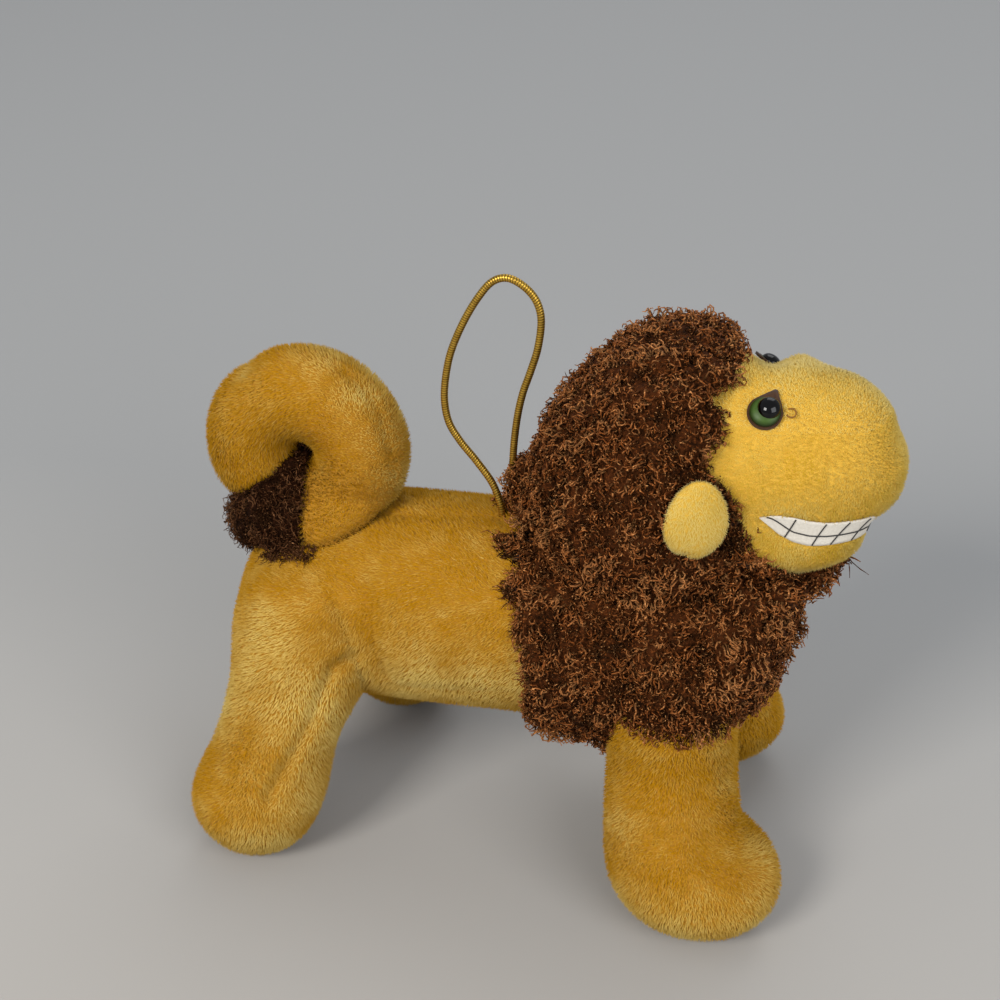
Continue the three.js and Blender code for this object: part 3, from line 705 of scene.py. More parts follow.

# Where the nap looks pale, partly from the nap brushed the other way and partly painted sheen and light on
# the lower sides, the legs and the edges: place, spread and strength
paleNapAndLightPatches = [
    ((-20, 21, 41), 9.5, 1), ((-8, 21, 41), 9.5, 1), ((3, 21, 43), 9.5, 0.9), ((-24, 18, 33), 8, 0.9),
    ((-50, 27, 46), 12, 0.85), ((-42, 27, 38), 11, 0.9), ((-58, 24, 33), 9, 0.75), ((-38, 26, 28), 10, 0.8),
    ((-48, 38, 6), 10, 0.85), ((-60, 26, 58), 8, 0.5), ((-42, 34, 15), 10, 0.65), ((-34, 14, 42), 9, 0.8),
    ((47, 26, 42), 6, 0.8), ((47, 27, 30), 5.5, 0.6), ((52, 31, 16), 6, 0.6), ((38, 40, 4), 9, 0.8),
    ((27, 38, 6), 8, 0.75), ((24, 31, 22), 5, 0.5), ((50, 35, 7), 7, 0.6),
    ((-29, 5, 88), 5, 0.8), ((-33, 4, 96), 5, 0.8), ((-42, 2, 102), 5, 0.6), ((-60, 2, 98), 3, 0.7),
    ((-28, 5, 78), 5, 0.6),
]


# Both sides of the toy laid on its left one
def foldOver(points):
    return points * (1, 0, 1) + np.abs(points) * (0, 1, 0)


def paleNapAndLight(points):
    total = np.zeros(len(points))
    folded = foldOver(points)
    for place, spread, strength in paleNapAndLightPatches:
        away = np.linalg.norm(folded - np.array(place, float), axis=1)
        total = np.maximum(total, strength * np.exp(-(away / spread) ** 2))
    return np.clip(total + 0.16 * swirl(points, 9, 5) + 0.1 * swirl(points, 3.2, 8), 0, 1)


def hiddenIn(points, forms, depth):
    gaps = [form.gap(points, -depth) for form in forms]
    return np.min(gaps, axis=0) < 0


# One stuffed plush part: its skin, and its pile wherever no other part covers it
def makePlush(part, form, covers, lay, seed, node, shape=None, segments=56, rings=40, keep=None, seam=0.0):
    rng = np.random.default_rng(seed)
    skin = makeSkin(part + "_cloth", form, segments, rings, -plushLook["backing"])
    if shape:
        shape(skin)
    pushSkin(skin, -creaseAt(readSkin(skin)[0], 1.2)[0])
    dress(skin, plushBacking, replaced=node)
    at, out = scatter(skin, plushLook["density"], rng, lambda at, out: (
        ~hiddenIn(at, covers, plushLook["backing"] + 0.8) & (keep(at) if keep else True)))
    nap = lay(at) + 0.5 * swirlVectors(at, 14, seed)
    _, near = creaseAt(at, 0.8)
    # Along the seam where a covering part meets this one, the strands are shorter and darkened as painted
    # shade between the parts
    if seam:
        above = np.min([cover.gap(at, 0) for cover in covers], axis=0)
        near = np.maximum(near, 0.9 * np.exp(-(np.maximum(above, 0) / seam) ** 2))
    plantPile(part + "_pile", skin, at, out, nap, plushLook, rng, paleNapAndLight(at) * (1 - near), near, plushPile)
    return skin


maneLook = {
    "backing": 2.0, "lump": 2.0, "lumpHeight": 1.4, "clumpHeight": 0.7,
    "fibres": 1.12,  # for each square millimetre
    "lock": 3.2, "lockRise": 1.5, "gather": 0.45,  # fibres that lie together, and how far some stand out
    "sides": 3, "steps": 5, "thick": 0.2, "thinner": 0.3, "tipTaper": 0.35,
    "length": 1.9, "lengthSpread": 0.35, "rise": 1.15, "curl": 0.36, "turns": 1.1, "kink": 0.12, "clump": 7.0,
    "arch": 0.62,  # share of half a turn through which a fibre rises before it bends over
    "bend": 0.8, "floor": 0.15, "fibreTint": 0.4, "lockTint": 2.2,
    # root and tip hold painted shade deep in the wool and painted highlight on the tips as well as the wool's
    # tone; glint is a painted highlight
    "root": "#120703", "middle": "#4c2711", "tip": "#8a4c20", "glint": "#eaa868",
}


def backOf(legX, softness=5.0):
    return lambda points: 1 / (1 + np.exp((points[:, 0] - legX) / softness * 2))


def alongLeg(points):
    upper = np.clip((points[:, 2] - 30) / 20, 0, 1)[:, None]
    return np.array([-0.15, 0, -1.0]) + upper * np.array([-0.9, 0, 0.5])


def downTail(points):
    x, z = points[:, 0] - tailCurl.centre[0], points[:, 2] - tailCurl.centre[1]
    return unit(np.stack([-z, 0 * x, x], axis=1))


def alongTail(points):
    return downTail(points) + 0.5 * np.sign(points[:, 1])[:, None] * np.array([0, 1, 0])


# Degrees round the body from the right flank over the back, and how far ahead of the seam's plane
# the curls are rooted there
seamReach = [(-90, 0.5), (-36, 1.0), (-15, 3.1), (10, 3.6), (16, 0.4), (30, 2.6), (38, -1.4), (52, 1.8),
             (65, -3.6), (78, 1.9), (88, 0.5), (95, -5.4), (118, -4.6), (140, -1), (160, 1.5), (200, 3),
             (230, 1.2)]


def pastSeam(points):
    table = np.array(seamReach)
    turn = np.degrees(np.arctan2(points[:, 2] - 50, -points[:, 1]))
    rooted = np.interp(turn, table[:, 0], table[:, 1], period=360)
    return aheadOfSeam(points) - rooted + 0.4 * swirl(points, 4, 17)


tailFold = {"place": (-60.4, 99.6), "depth": 1.3, "spread": 3.6}


# The tail is pressed wide where it lies on the rump, and folded where its back seam turns
@onSkin
def widenTail(points):
    low = np.clip((74 - points[:, 2]) / 10, 0, 1) * np.clip((points[:, 0] + 54) / 6, 0, 1)
    points[:, 1] *= 1 + 0.85 * low
    points[:, 2] -= 1.5 * low * np.clip(np.abs(points[:, 1]) / 8, 0, 1)
    (x, z), (middleX, middleZ) = tailFold["place"], tailCurl.centre
    away = np.hypot(points[:, 0] - x, points[:, 2] - z)
    inward = unit(np.array([middleX - x, 0, middleZ - z]))
    points += (tailFold["depth"] * np.exp(-(away / tailFold["spread"]) ** 2))[:, None] * inward


# How far the front of the right front leg stands back (-) or forward over its height: shin, instep, toes
instep = [(0, 1.2), (4, 1.4), (12, 1.4), (15, 0.8), (17, -1.4), (19, -4.2), (21.2, -3.9), (25, -2), (29.5, 0)]


# The toes of the right front foot are pressed forward and outwards by its filling
@onSkin
def spreadFoot(points):
    low = np.clip((34 - points[:, 2]) / 26, 0, 1)[:, None]
    points += low * ((points - (37, -28, 0)) * (0.06, 0.06, 0) + (0.4, -1.8, 0))
    heights, shifts = np.array(instep).T
    ahead = np.clip((points[:, 0] - 35) / 9, 0, 1)
    points[:, 0] += ahead * np.interp(points[:, 2], heights, shifts)


# The left front foot stands nearer to the middle than its shoulder
@onSkin
def bringIn(points):
    low = np.clip((38 - points[:, 2]) / 26, 0, 1)[:, None]
    points += low * (-0.8, -4.5, 0)


thighTop = backOf(-36)
torso = makePlush("torso", barrel, list(legs.values()) + [tailCurl],
                  lambda p: np.array([-1, 0, -0.35]) + 0 * p, 11, ("torso_cover", "torso_stuffing"),
                  segments=110, rings=84,
                  shape=lambda skin: [flowInto(skin, legs[k], -plushLook["backing"], 9, thighTop)
                                      for k in ("right_hind_leg", "left_hind_leg")],
                  keep=lambda p: pastSeam(p) < 0.4)
# The torso cloth is darker where the mane covers it
markSkin(torso, "darkUnderMane", np.clip(pastSeam(readSkin(torso)[0]) + 0.4, 0, 1))
for legName, form in legs.items():
    hind = "hind" in legName
    into = (lambda skin: flowInto(skin, barrel, -plushLook["backing"], 9, thighTop)) if hind else bringIn
    makePlush(legName, form, [barrel, chest], alongLeg, 21 + len(legName), (legName,),
              shape=spreadFoot if legName == "right_front_leg" else into,
              segments=84 if hind else 64, rings=64 if hind else 50,
              keep=None if hind else lambda p: p[:, 2] < 43.5)
makePlush("tail", tailCurl, [barrel], alongTail, 51, ("tail",), rings=72, shape=widenTail, seam=0.7)
print("plush parts made")


# Rounded lumps: how far each point is from the middle of its lump, in lump sizes, a number from 0 to 1
# for each lump, and the way to its middle in millimetres
def lumpsAt(points, size):
    cell = np.floor(points / size).astype(np.int64)
    best, mark, toward = np.full(len(points), 9.0), np.zeros(len(points)), np.zeros((len(points), 3))
    for shift in np.ndindex(3, 3, 3):
        here = cell + np.array(shift) - 1
        code = (here @ np.array([73856093, 19349663, 83492791])) % 1000003
        middle = here + np.stack([code * 0.618034 % 1, code * 0.754878 % 1, code * 0.569840 % 1], axis=1)
        away = np.linalg.norm(points / size - middle, axis=1)
        closer = away < best
        best, mark = np.where(closer, away, best), np.where(closer, code * 0.324718 % 1, mark)
        toward = np.where(closer[:, None], middle * size - points, toward)
    return best, mark, toward


# Fibres of curly wool: crimped round a path that stands up and then bends over
def makeCurls(name, at, out, lay, look, rng):
    count, steps, sides = len(at), look["steps"], look["sides"]
    lay = unit(lay - out * np.sum(lay * out, axis=1)[:, None])
    side = np.cross(out, lay)
    share = np.linspace(0, 1, steps + 1)[None, :, None]
    long = (look["length"] * np.exp(look["lengthSpread"] * rng.normal(size=count)))[:, None, None]
    clump, (away, mark, toward) = swirl(at, look["clump"], 3), lumpsAt(at, look["lock"])
    toward -= out * np.sum(toward * out, axis=1)[:, None]
    stands = look["lockRise"] * np.clip(mark * 3 - 2, 0, 1) * np.clip(1.1 - away, 0, 1)
    rise = (look["rise"] * (rng.uniform(0.4, 1.2, count) + 0.2 * clump) + stands)[:, None, None]
    middle = (at[:, None] + out[:, None] * rise * np.sin(share * np.pi * look["arch"])
              + lay[:, None] * long * look["bend"] * share ** 1.3 + look["gather"] * toward[:, None] * share)
    ahead = unit(np.gradient(middle, axis=1))
    lift = np.cross(ahead, side[:, None])
    turns = rng.choice([-1.0, 1.0], count) * look["turns"] * rng.uniform(0.7, 1.35, count)
    phase = rng.uniform(0, 2 * np.pi, count)[:, None] + 2 * np.pi * turns[:, None] * share[..., 0]
    loose = look["curl"] * rng.uniform(0.6, 1.35, count)[:, None] * np.minimum(1, 0.25 + 2.2 * share[..., 0])
    radial = side[:, None] * np.cos(phase)[..., None] + lift * np.sin(phase)[..., None]
    line = middle + radial * loose[..., None] + look["kink"] * rng.normal(size=middle.shape) * share
    along = unit(np.gradient(line, axis=1))
    radial = unit(radial - along * np.sum(radial * along, axis=-1)[..., None])[:, :, None]
    third = np.cross(along, radial[:, :, 0])[:, :, None]
    thick = look["thick"] * rng.uniform(0.7, 1.3, count)[:, None, None, None]
    taper = (1 - look["thinner"] * share - look["tipTaper"] * (share == 1))[..., None]
    turn = (2 * np.pi * np.arange(sides) / sides)[None, None, :, None]
    points = line[:, :, None] + thick * taper * (np.cos(turn) * radial + np.sin(turn) * third)
    points[..., 2] = np.maximum(points[..., 2], look["floor"])
    each = (steps + 1) * sides
    step, turn = np.meshgrid(np.arange(steps), np.arange(sides), indexing="ij")
    low, near = step * sides + turn, step * sides + (turn + 1) % sides
    wall = np.stack([low, near, near + sides, low + sides], axis=-1).reshape(-1, 4)
    first = each * np.arange(count)[:, None, None]
    walls = (first + wall[None]).reshape(-1, 4)
    ends = np.array([range(sides)[::-1], range(each - sides, each)])
    caps = (first + ends[None]).reshape(-1, sides)
    cell, size = strandCells(count)
    u0, v0 = (step / steps).ravel(), (turn / sides).ravel()
    u1, v1 = ((step + 1) / steps).ravel(), ((turn + 1) / sides).ravel()
    box = np.stack([[u0, v0], [u0, v1], [u1, v1], [u1, v0]]).transpose(2, 0, 1)
    flat = cell[:, None, None] + (0.06 + 0.88 * box[None]) * size
    capFlat = np.repeat(cell[:, None] + 0.06 * size, 2 * sides, axis=1)
    corner2d = np.concatenate([flat.reshape(-1, 2), capFlat.reshape(-1, 2)])
    # Each fibre's tint: random, by its lock and by larger clumps; it darkens and lightens the tufts, partly
    # as a random tone and partly as painted light and shade
    tint = look["fibreTint"] * rng.normal(size=count) + look["lockTint"] * (mark - 0.5) + clump
    tint = np.repeat(tint, each)
    reach = np.tile(np.repeat(np.linspace(0, 1, steps + 1), sides), count)
    return writeMesh(name, points.reshape(-1, 3), [walls, caps], {"tint": tint, "along": reach}, corner2d)


def curlFinish(name, look):
    finish = Finish(name, {"Roughness": 0.55, "Specular IOR Level": 0.3, "Specular Tint": shade("#d8986a"),
                           "Sheen Weight": 0.15, "Sheen Roughness": 0.4, "Sheen Tint": shade("#b87848")})
    along, tint = finish.attribute("along"), finish.attribute("tint")
    fleck = finish.noise(2400.0, 3.0)
    # Each fibre is darker toward the root and lighter toward the tip: partly its own tone, partly painted
    # shade deep in the wool and painted highlight on the tips
    stops = [(0.0, shade(look["root"])), (0.4, shade(look["middle"])), (1.0, shade(look["tip"]))]
    colour = finish.node("ShaderNodeValToRGB", {"stops": stops}, {"Fac": along + (fleck - 0.5) * 0.8})
    # The tint pulls some locks toward the root colour and others toward the glint colour: partly random tone,
    # partly painted shade and highlight
    colour = finish.mix(tint * -0.6, colour, shade(look["root"]))
    colour = finish.mix(tint * 0.12, colour, shade(look["glint"]))
    # Bright flecks of the glint colour: painted glints
    finish.colour(finish.mix((fleck - 0.57) * 5.0, colour, shade(look["glint"])))
    return finish


# Body of the wool under its fibres: dark between the lumps, as painted shade in the pits, and browner on them
def woolFinish(name, look):
    finish = Finish(name, {"Roughness": 0.8, "Specular IOR Level": 0.2, "Specular Tint": shade("#d8986a")})
    height, fibre, fleck = finish.attribute("lump"), finish.noise(1500.0, 4.0), finish.noise(2400.0, 3.0)
    colour = finish.mix(height * 0.8 + (fibre - 0.55) * 1.6, shade(look["root"]), shade(look["middle"]))
    # Bright flecks of the tip colour: painted glints
    finish.colour(finish.mix((fleck - 0.56) * 4.0, colour, shade(look["tip"])))
    finish.normal(finish.bump(fibre, 0.9, 0.0006))
    return finish


def makeWool(name, form, segments, rings, look, press=None):
    skin = makeSkin(name, form, segments, rings, -look["backing"])
    points = readSkin(skin)[0]
    (away, mark, _), coarse = lumpsAt(points, look["lump"]), swirl(points, look["clump"], 3)
    dome = np.sqrt(np.clip(1 - (away / 0.95) ** 2, 0, 1))
    lift = look["lumpHeight"] * (dome - 0.55) + look["clumpHeight"] * coarse
    pushSkin(skin, lift - (press(points) if press else 0))
    # lump is high on the tops of the lumps and low in the pits, where the colour is darkened as painted
    # shade; each lump also gets a random tone
    markSkin(skin, "lump", 1.1 * dome - 0.3 + 0.5 * (mark - 0.5) + 0.15 * coarse)
    return skin


def plantFibres(name, skin, at, out, lay, look, rng, finish=None):
    finish = finish or maneCurls
    for label, group in inPieces(name, at, fibresInPiece):
        dress(makeCurls(label, at[group], out[group], lay[group], look, rng), finish, parent=skin)
    print(name, "fibres", len(at))


maneCurls = curlFinish("maneCurls", maneLook)
maneBacking = woolFinish("maneBacking", maneLook)

maneCreases = [
    [(27.7, 22, 78), (27.7, 22.3, 64.6), (28.9, 24.7, 59.5), (30.1, 25.9, 53.7), (31, 26, 44)],
    [(35.3, 21.7, 66), (35.9, 24.1, 60.2), (36.4, 25.3, 54.3), (37.3, 26.2, 48.1), (38, 26, 40)],
]


def maneNear(points):
    folded = foldOver(points)
    return np.max([np.exp(-(toLine(folded, line) / 1.6) ** 2) for line in maneCreases], axis=0)


def maneLay(at, rng, seed):
    return 1.2 * swirlVectors(at, 2.6, seed) + 0.4 * rng.normal(size=at.shape) + np.array([-0.2, 0, -0.5])


def makeMane(part, form, seed, keep, covers, cover=maneLook["backing"] + 0.6, size=(200, 144), look=maneLook,
             dense=1, node=(), press=None, shape=None):
    rng = np.random.default_rng(seed)
    skin = makeWool(part, form, *size, look, press)
    if shape:
        shape(skin)
    dress(skin, maneBacking, replaced=node)
    at, out = scatter(skin, dense * maneLook["fibres"], rng,
                      lambda at, out: keep(at) & ~hiddenIn(at, covers, cover))
    plantFibres(part.replace("form", "curls"), skin, at, out, maneLay(at, rng, seed), maneLook, rng)


# Fibres along an edge of the mane, rooted in the cloth that they fall over
def makeFringe(name, cloth, keep, density, push, seed):
    rng = np.random.default_rng(seed)
    at, out = scatter(cloth, density, rng, lambda at, out: keep(at))
    plantFibres(name, cloth, at, out, maneLay(at, rng, seed) + np.array(push, float), maneLook, rng)


# The edge of the face: heights, and how far forward the mane comes there
faceEdges = [(70, 53), (72, 51.5), (74.4, 49.5), (75.3, 47.5), (77, 45.2), (78.1, 43.6), (80.7, 42.6),
             (84, 42.8), (89, 41.4), (92.5, 39.0), (94, 35.2), (96.5, 34.0), (99, 33.9), (100.6, 36.6),
             (102.6, 37.2), (104.4, 36.4), (105.6, 33.6), (107.4, 34.2), (108.6, 38.2), (109.6, 39.4)]


def pastFaceEdge(points):
    table = np.array(faceEdges)
    return points[:, 0] - np.interp(points[:, 2], table[:, 0], table[:, 1])


# A strip along the edge of the face, above some height
def alongFace(half, low):
    return lambda points: (np.abs(pastFaceEdge(points) + 2) < half) & (points[:, 2] > low)


# The hood of the mane is rounded off along the edge of the face
@onSkin
def trimHood(points):
    past = pastFaceEdge(points) + 2.6
    points[:, 0] += np.where(past > 0, 2 * np.tanh(past / 2) - past, 0)


# The breast is a little flatter than the sewn form
def breastPress(points):
    return 1.7 * np.clip((points[:, 0] - 45) / 7, 0, 1) * np.clip((67 - points[:, 2]) / 6, 0, 1)


makeMane("chest_mane_form", chest, 61, lambda p: pastSeam(p) > 0, [hood], node=("chest_mane",),
         press=lambda p: 2.0 * maneNear(p) + 2.0 * np.clip(0.6 - pastSeam(p), 0, 1) + breastPress(p))
makeMane("head_mane_form", hood, 62, lambda p: p[:, 2] > 62, [chest], node=("head_mane", "head_stuffing"),
         press=lambda p: 1.5 * maneNear(p), shape=trimHood)
makeFringe("rear_mane_curls", torso, lambda p: (pastSeam(p) > 0) & (aheadOfSeam(p) < 4), 3.2,
           (-0.8, 0, 0), 63)

# Wool at the back of the neck, between the two covers
neck = Form("y", -11, 11, 2.2, [[76.5, 0.5, 4, 3.2], [77.5, 0.3, 5.2, 4.2], [77.8, -1.4, 5.6, 5.4],
                                [76.5, -0.6, 4.2, 4.4]])
makeMane("neck_mane_form", neck, 64, lambda p: True, [hood, chest], cover=3.0, size=(72, 48),
         look={**maneLook, "backing": 1.0}, dense=1.5)
print("mane made")


# Moves a form that was drawn about the origin: turned about +Z, then shifted
class Moved:
    def __init__(self, form, turn, shift):
        c, s = np.cos(np.radians(turn)), np.sin(np.radians(turn))
        self.form, self.shift = form, np.asarray(shift, float)
        self.turned = np.array([[c, -s, 0], [s, c, 0], [0, 0, 1]])

    def placeOn(self, sphere, grow=0.0):
        return self.form.placeOn(sphere, grow) @ self.turned.T + self.shift

    def gap(self, points, grow=0.0):
        return self.form.gap((points - self.shift) @ self.turned, grow)


# Where lines that run inwards first meet any of some forms
def meet(forms, start, toward, far, grow):
    def outside(run):
        points = start + toward * run[:, None]
        return np.min([form.gap(points, grow) for form in forms], axis=0)

    runs = np.linspace(0, far, 120)
    gaps = np.stack([outside(np.full(len(start), run)) for run in runs])
    first = np.maximum(np.argmax(gaps < 0, axis=0), 1)
    low, high = runs[first - 1], runs[first]
    for _ in range(12):
        middle = (low + high) / 2
        out = outside(middle) > 0
        low, high = np.where(out, middle, low), np.where(out, high, middle)
    return start + toward * low[:, None]


# Face: short-pile cloth over the muzzle and the jaw, with a strip of white cloth let in
faceLook = {
    "backing": 0.65,
    "density": 9.2,
    "length": 0.74, "lengthSpread": 0.12, "width": 0.22,
    "lean": 28, "leanSpread": 10, "stray": 0.5, "floor": 0.12, "shortInCrease": 0.45,
    "roundness": 0.16, "edge": 0.12,
    "root": "#c4981e", "tip": "#d4ae32", "paleRoot": "#d4b24c", "paleTip": "#ecd484", "crease": "#8a6414",
    "sheenTint": "#fff0c0", "sheen": 0.2, "roughness": 0.8, "gloss": 0.12,
    "mottleScale": 120.0, "mottle": 0.45, "tint": 0.09,
}
facePile = pileFinish("facePile", faceLook)
faceBacking = skinFinish("faceBacking", "#c89a2a", "#dcb040", 700.0)

# The left eye's thread pulls the top of the head in before a ridge, and the nose stands over the mouth
head = Blend([skull, jaw], 7.0, [
    ((43.2, 7, 109), (4, 8, 8), 3.5), ((48, 10.8, 106.2), (3.6, 4.5, 5), -1.4),
    ((53.5, 6, 108.5), (5, 9, 5), 0.7), ((59, 4, 107.5), (4.5, 10, 5), -0.3),
    ((64, 3, 103.5), (4, 10, 4.5), 0.2), ((68, 3, 97.5), (5, 12, 4), 1.4), ((70, 3, 91), (5, 12, 4), -0.5),
    ((69.5, 3, 85), (5, 12, 3.2), -0.8), ((67, 3, 80.5), (4, 12, 2.4), 2.3), ((65, 3, 77.2), (4, 12, 2.2), 2),
    ((63, 3, 73), (4, 10, 3), -0.2),
])

grin = {
    "axis": (48, 0),  # the strip is laid out round an upright line through here
    "columns": 120, "rows": 9,
    "raise": -0.3, "thick": 0.35,
    # degrees round from the front, then the heights of the upper and the lower edge
    "edges": [(0, 80.4, 77.2), (10, 81.0, 77.8), (20, 82.7, 79.0), (29, 84.3, 79.7), (44, 84.7, 80.1),
              (59, 85.0, 80.2), (70, 85.6, 80.4), (80, 86.4, 81.3), (89, 86.8, 82.8), (95, 86.7, 84.4),
              (101, 86.2, 86.1)],
    "middle": 0.42,  # height of the long drawn line in the strip
    "crossings": [(79.5, 85.6), (60, 68), (44.7, 56), (30.3, 41), (13, 19)],
    "thread": 0.13, "threadRaise": -0.22,
}


def grinEdges(angle):
    table = np.array(grin["edges"], float)
    around = np.abs(angle)
    return np.interp(around, table[:, 0], table[:, 1]), np.interp(around, table[:, 0], table[:, 2])


# Points of the strip from degrees round the mouth and shares of the way up it
def onGrin(angle, height, grow):
    upper, lower = grinEdges(angle)
    turn = np.radians(angle)
    toward = -np.stack([np.cos(turn), np.sin(turn), 0 * turn], axis=1)
    start = np.array([*grin["axis"], 0.0]) - 40 * toward
    start[:, 2] = lower + (upper - lower) * height
    return meet([head], start, toward, 40, grow)


def inGrin(points, margin):
    angle = np.degrees(np.arctan2(points[:, 1], points[:, 0] - grin["axis"][0]))
    upper, lower = grinEdges(angle)
    within = np.abs(angle) < grin["edges"][-1][0]
    return within & (points[:, 2] < upper + margin) & (points[:, 2] > lower - margin)


def wovenFinish(name, roughness, scale, low, high):
    finish = Finish(name, {"Roughness": roughness, "Sheen Weight": 0.1})
    weave = finish.noise(scale, 3.0)
    finish.colour(finish.mix(weave, shade(low), shade(high)))
    finish.normal(finish.bump(weave, 0.35, 0.0002))
    return finish


def makeGrin():
    corner = grin["edges"][-1][0]
    angle, height = np.meshgrid(np.linspace(-corner, corner, grin["columns"] + 1),
                                np.linspace(0, 1, grin["rows"] + 1), indexing="ij")
    points = onGrin(angle.ravel(), height.ravel(), grin["raise"])
    wide = grin["rows"] + 1
    column, row = np.meshgrid(np.arange(grin["columns"]), np.arange(grin["rows"]), indexing="ij")
    low = (column * wide + row).ravel()
    strip = writeMesh("teeth_strip", points, [np.stack([low, low + wide, low + wide + 1, low + 1], axis=1)])
    thicken(strip, grin["thick"])
    cloth = wovenFinish("teethCloth", 0.6, 2500.0, "#bab3a6", "#d8d2c6")
    dress(strip, cloth, replaced=("teeth_panel",))
    thread = wovenFinish("blackThread", 0.5, 4000.0, "#0d0c0b", "#2a2623")
    lines = []
    angle = np.linspace(-97, 97, 160)
    rise = np.clip((np.abs(angle) - 80) / 17, 0, 1) ** 1.5
    lines.append(onGrin(angle, grin["middle"] + (0.97 - grin["middle"]) * rise, grin["threadRaise"]))
    for side in (-1, 1):
        for top, bottom in grin["crossings"]:
            share = np.linspace(0.03, 0.97, 14)
            lines.append(onGrin(side * (bottom + (top - bottom) * share), share, grin["threadRaise"]))
    for k, line in enumerate(lines):
        path, _ = evenPath(line, 0.4)
        piece = tubeMesh("grin_line_%02d" % k, path, grin["thread"], 6)
        dress(piece, thread, parent=strip)


# Moves a skin out or in until it lies on a blend of forms
def settle(piece, blend, grow, most):
    moved = 0
    for _ in range(4):
        points = readSkin(piece)[0]
        step = np.clip(-blend.gap(points, grow), -most - moved, most - moved)
        buried = np.min([form.gap(points, grow) for form in blend.forms], axis=0) < -blend.reach / 2
        step = np.where(buried, 0, step)
        moved = moved + step
        pushSkin(piece, step)


def makeFaceCloth(part, form, covers, seed, node):
    rng = np.random.default_rng(seed)
    skin = makeSkin(part, form, 96, 72, -faceLook["backing"])
    settle(skin, head, -faceLook["backing"], 3.5)
    points = readSkin(skin)[0]
    pushSkin(skin, -0.4 * inGrin(points, 0.2))
    # The face cloth is darker where it runs under the mane
    markSkin(skin, "darkUnderMane", np.clip(-pastFaceEdge(points) - 0.5, 0, 1))
    dress(skin, faceBacking, replaced=node)

    def shown(at, out):
        shows = (pastFaceEdge(at) > -1.3) & ~inGrin(at, -0.35)
        shows &= ~hiddenIn(at, covers, faceLook["backing"] + 0.5)
        for side in (rightSide, leftSide):
            shows &= np.linalg.norm(at - eyePlace(side)["middle"], axis=1) > eyes["felt"] - 0.2
        return shows

    at, out = scatter(skin, faceLook["density"], rng, shown)
    nap = np.array([-1, 0, -0.2]) + 0.6 * swirlVectors(at, 11, seed)
    # Paler at random, and paler where the cloth faces upward: painted light on the top of the face
    pale = np.clip(0.3 + 0.25 * swirl(at, 12, seed) + 0.12 * swirl(at, 3, 4) + 0.4 * (out[:, 2] > 0.6), 0, 1)
    plantPile(part + "_pile", skin, at, out, nap, faceLook, rng, pale, 0 * pale, facePile)
    return skin


# Eyes: brown felt with a peak, a green iris and a raised black pupil
eyes = {
    "x": 43.6, "turn": 47.6,  # along the head, and degrees up its side
    # the left eye faces more ahead and inward, and its felt stands off stiffly with the peak turned back
    "farBack": -0.1, "farTilt": 0.42, "farFold": 0.42, "farSink": 0.6, "stiff": 0.85,
    "farPeak": 6.6, "farPeakTurn": 236, "farIris": 0.5, "farPupilLift": 0.7,
    "felt": 3.2, "peak": 5.3, "peakLean": 18, "feltThick": 0.5,
    "iris": 2.85, "irisHeight": 1.2, "irisLift": 0.35,
    "pupil": 2.1, "pupilHeight": 1.5, "pupilLift": 1.0, "pupilShift": (0.6, 0.55),
    "under": 0.4,  # depth of a dome below its rim
}


def eyePlace(side):
    far = side == leftSide
    share = 2 * (eyes["x"] - eyes["farBack"] * far - skull.start) / (skull.end - skull.start) - 1

    def at(turn, along):
        turn = np.radians(turn)
        return skull.placeOn(np.array([[side * np.cos(turn), np.sin(turn), along]]))[0]

    middle = at(eyes["turn"], share)
    forward = unit(at(eyes["turn"], share + 0.01) - middle)
    upward = at(eyes["turn"] + 1, share) - middle
    look = unit(np.cross(forward, upward)) * -side
    look = unit(look + far * (eyes["farTilt"] * forward + eyes["farFold"] * np.array([0, -side, 0])))
    forward = unit(forward - look * (forward @ look))
    middle = meet([head], (middle + look * 6)[None], -look[None], 14, 0)[0] - eyes["farSink"] * far * look
    rise = np.cross(look, forward) * -side
    return {"middle": middle, "forward": forward, "rise": rise, "look": look, "stiff": eyes["stiff"] * far}


# Points beside an eye, as millimetres ahead of it and above it, laid down on the head
def downOnHead(place, flat, grow):
    start = place["middle"] + place["look"] * 6 + flat[:, :1] * place["forward"] + flat[:, 1:] * place["rise"]
    return meet([head], start, np.broadcast_to(-place["look"], start.shape), 14, grow)


# A disc of cloth with the outline given as a radius at each angle, laid on the head
def layOnHead(name, place, radii, rings, grow, thick):
    turn = 2 * np.pi * np.arange(len(radii)) / len(radii)
    flat = [np.zeros((1, 2))]
    for ring in range(1, rings + 1):
        flat.append(np.stack([np.cos(turn), np.sin(turn)], axis=1) * (radii * ring / rings)[:, None])
    flat = np.concatenate(flat)
    points = downOnHead(place, flat, grow)
    sinks = (place["middle"] - points) @ place["look"] + grow + eyes["farSink"]
    points += (place["stiff"] * sinks)[:, None] * place["look"]
    sides = len(radii)
    s = np.arange(sides)
    n = (s + 1) % sides
    middle = np.stack([0 * s, 1 + s, 1 + n], axis=1)
    bands = [1 + r * sides + np.stack([s, sides + s, sides + n, n], axis=1) for r in range(rings - 1)]
    piece = writeMesh(name, points, [middle, np.concatenate(bands)])
    turnOutwards(piece)
    facing = readSkin(piece)[1]
    if facing[0] @ place["look"] < 0:
        piece.data.flip_normals()
    thicken(piece, thick)
    return piece


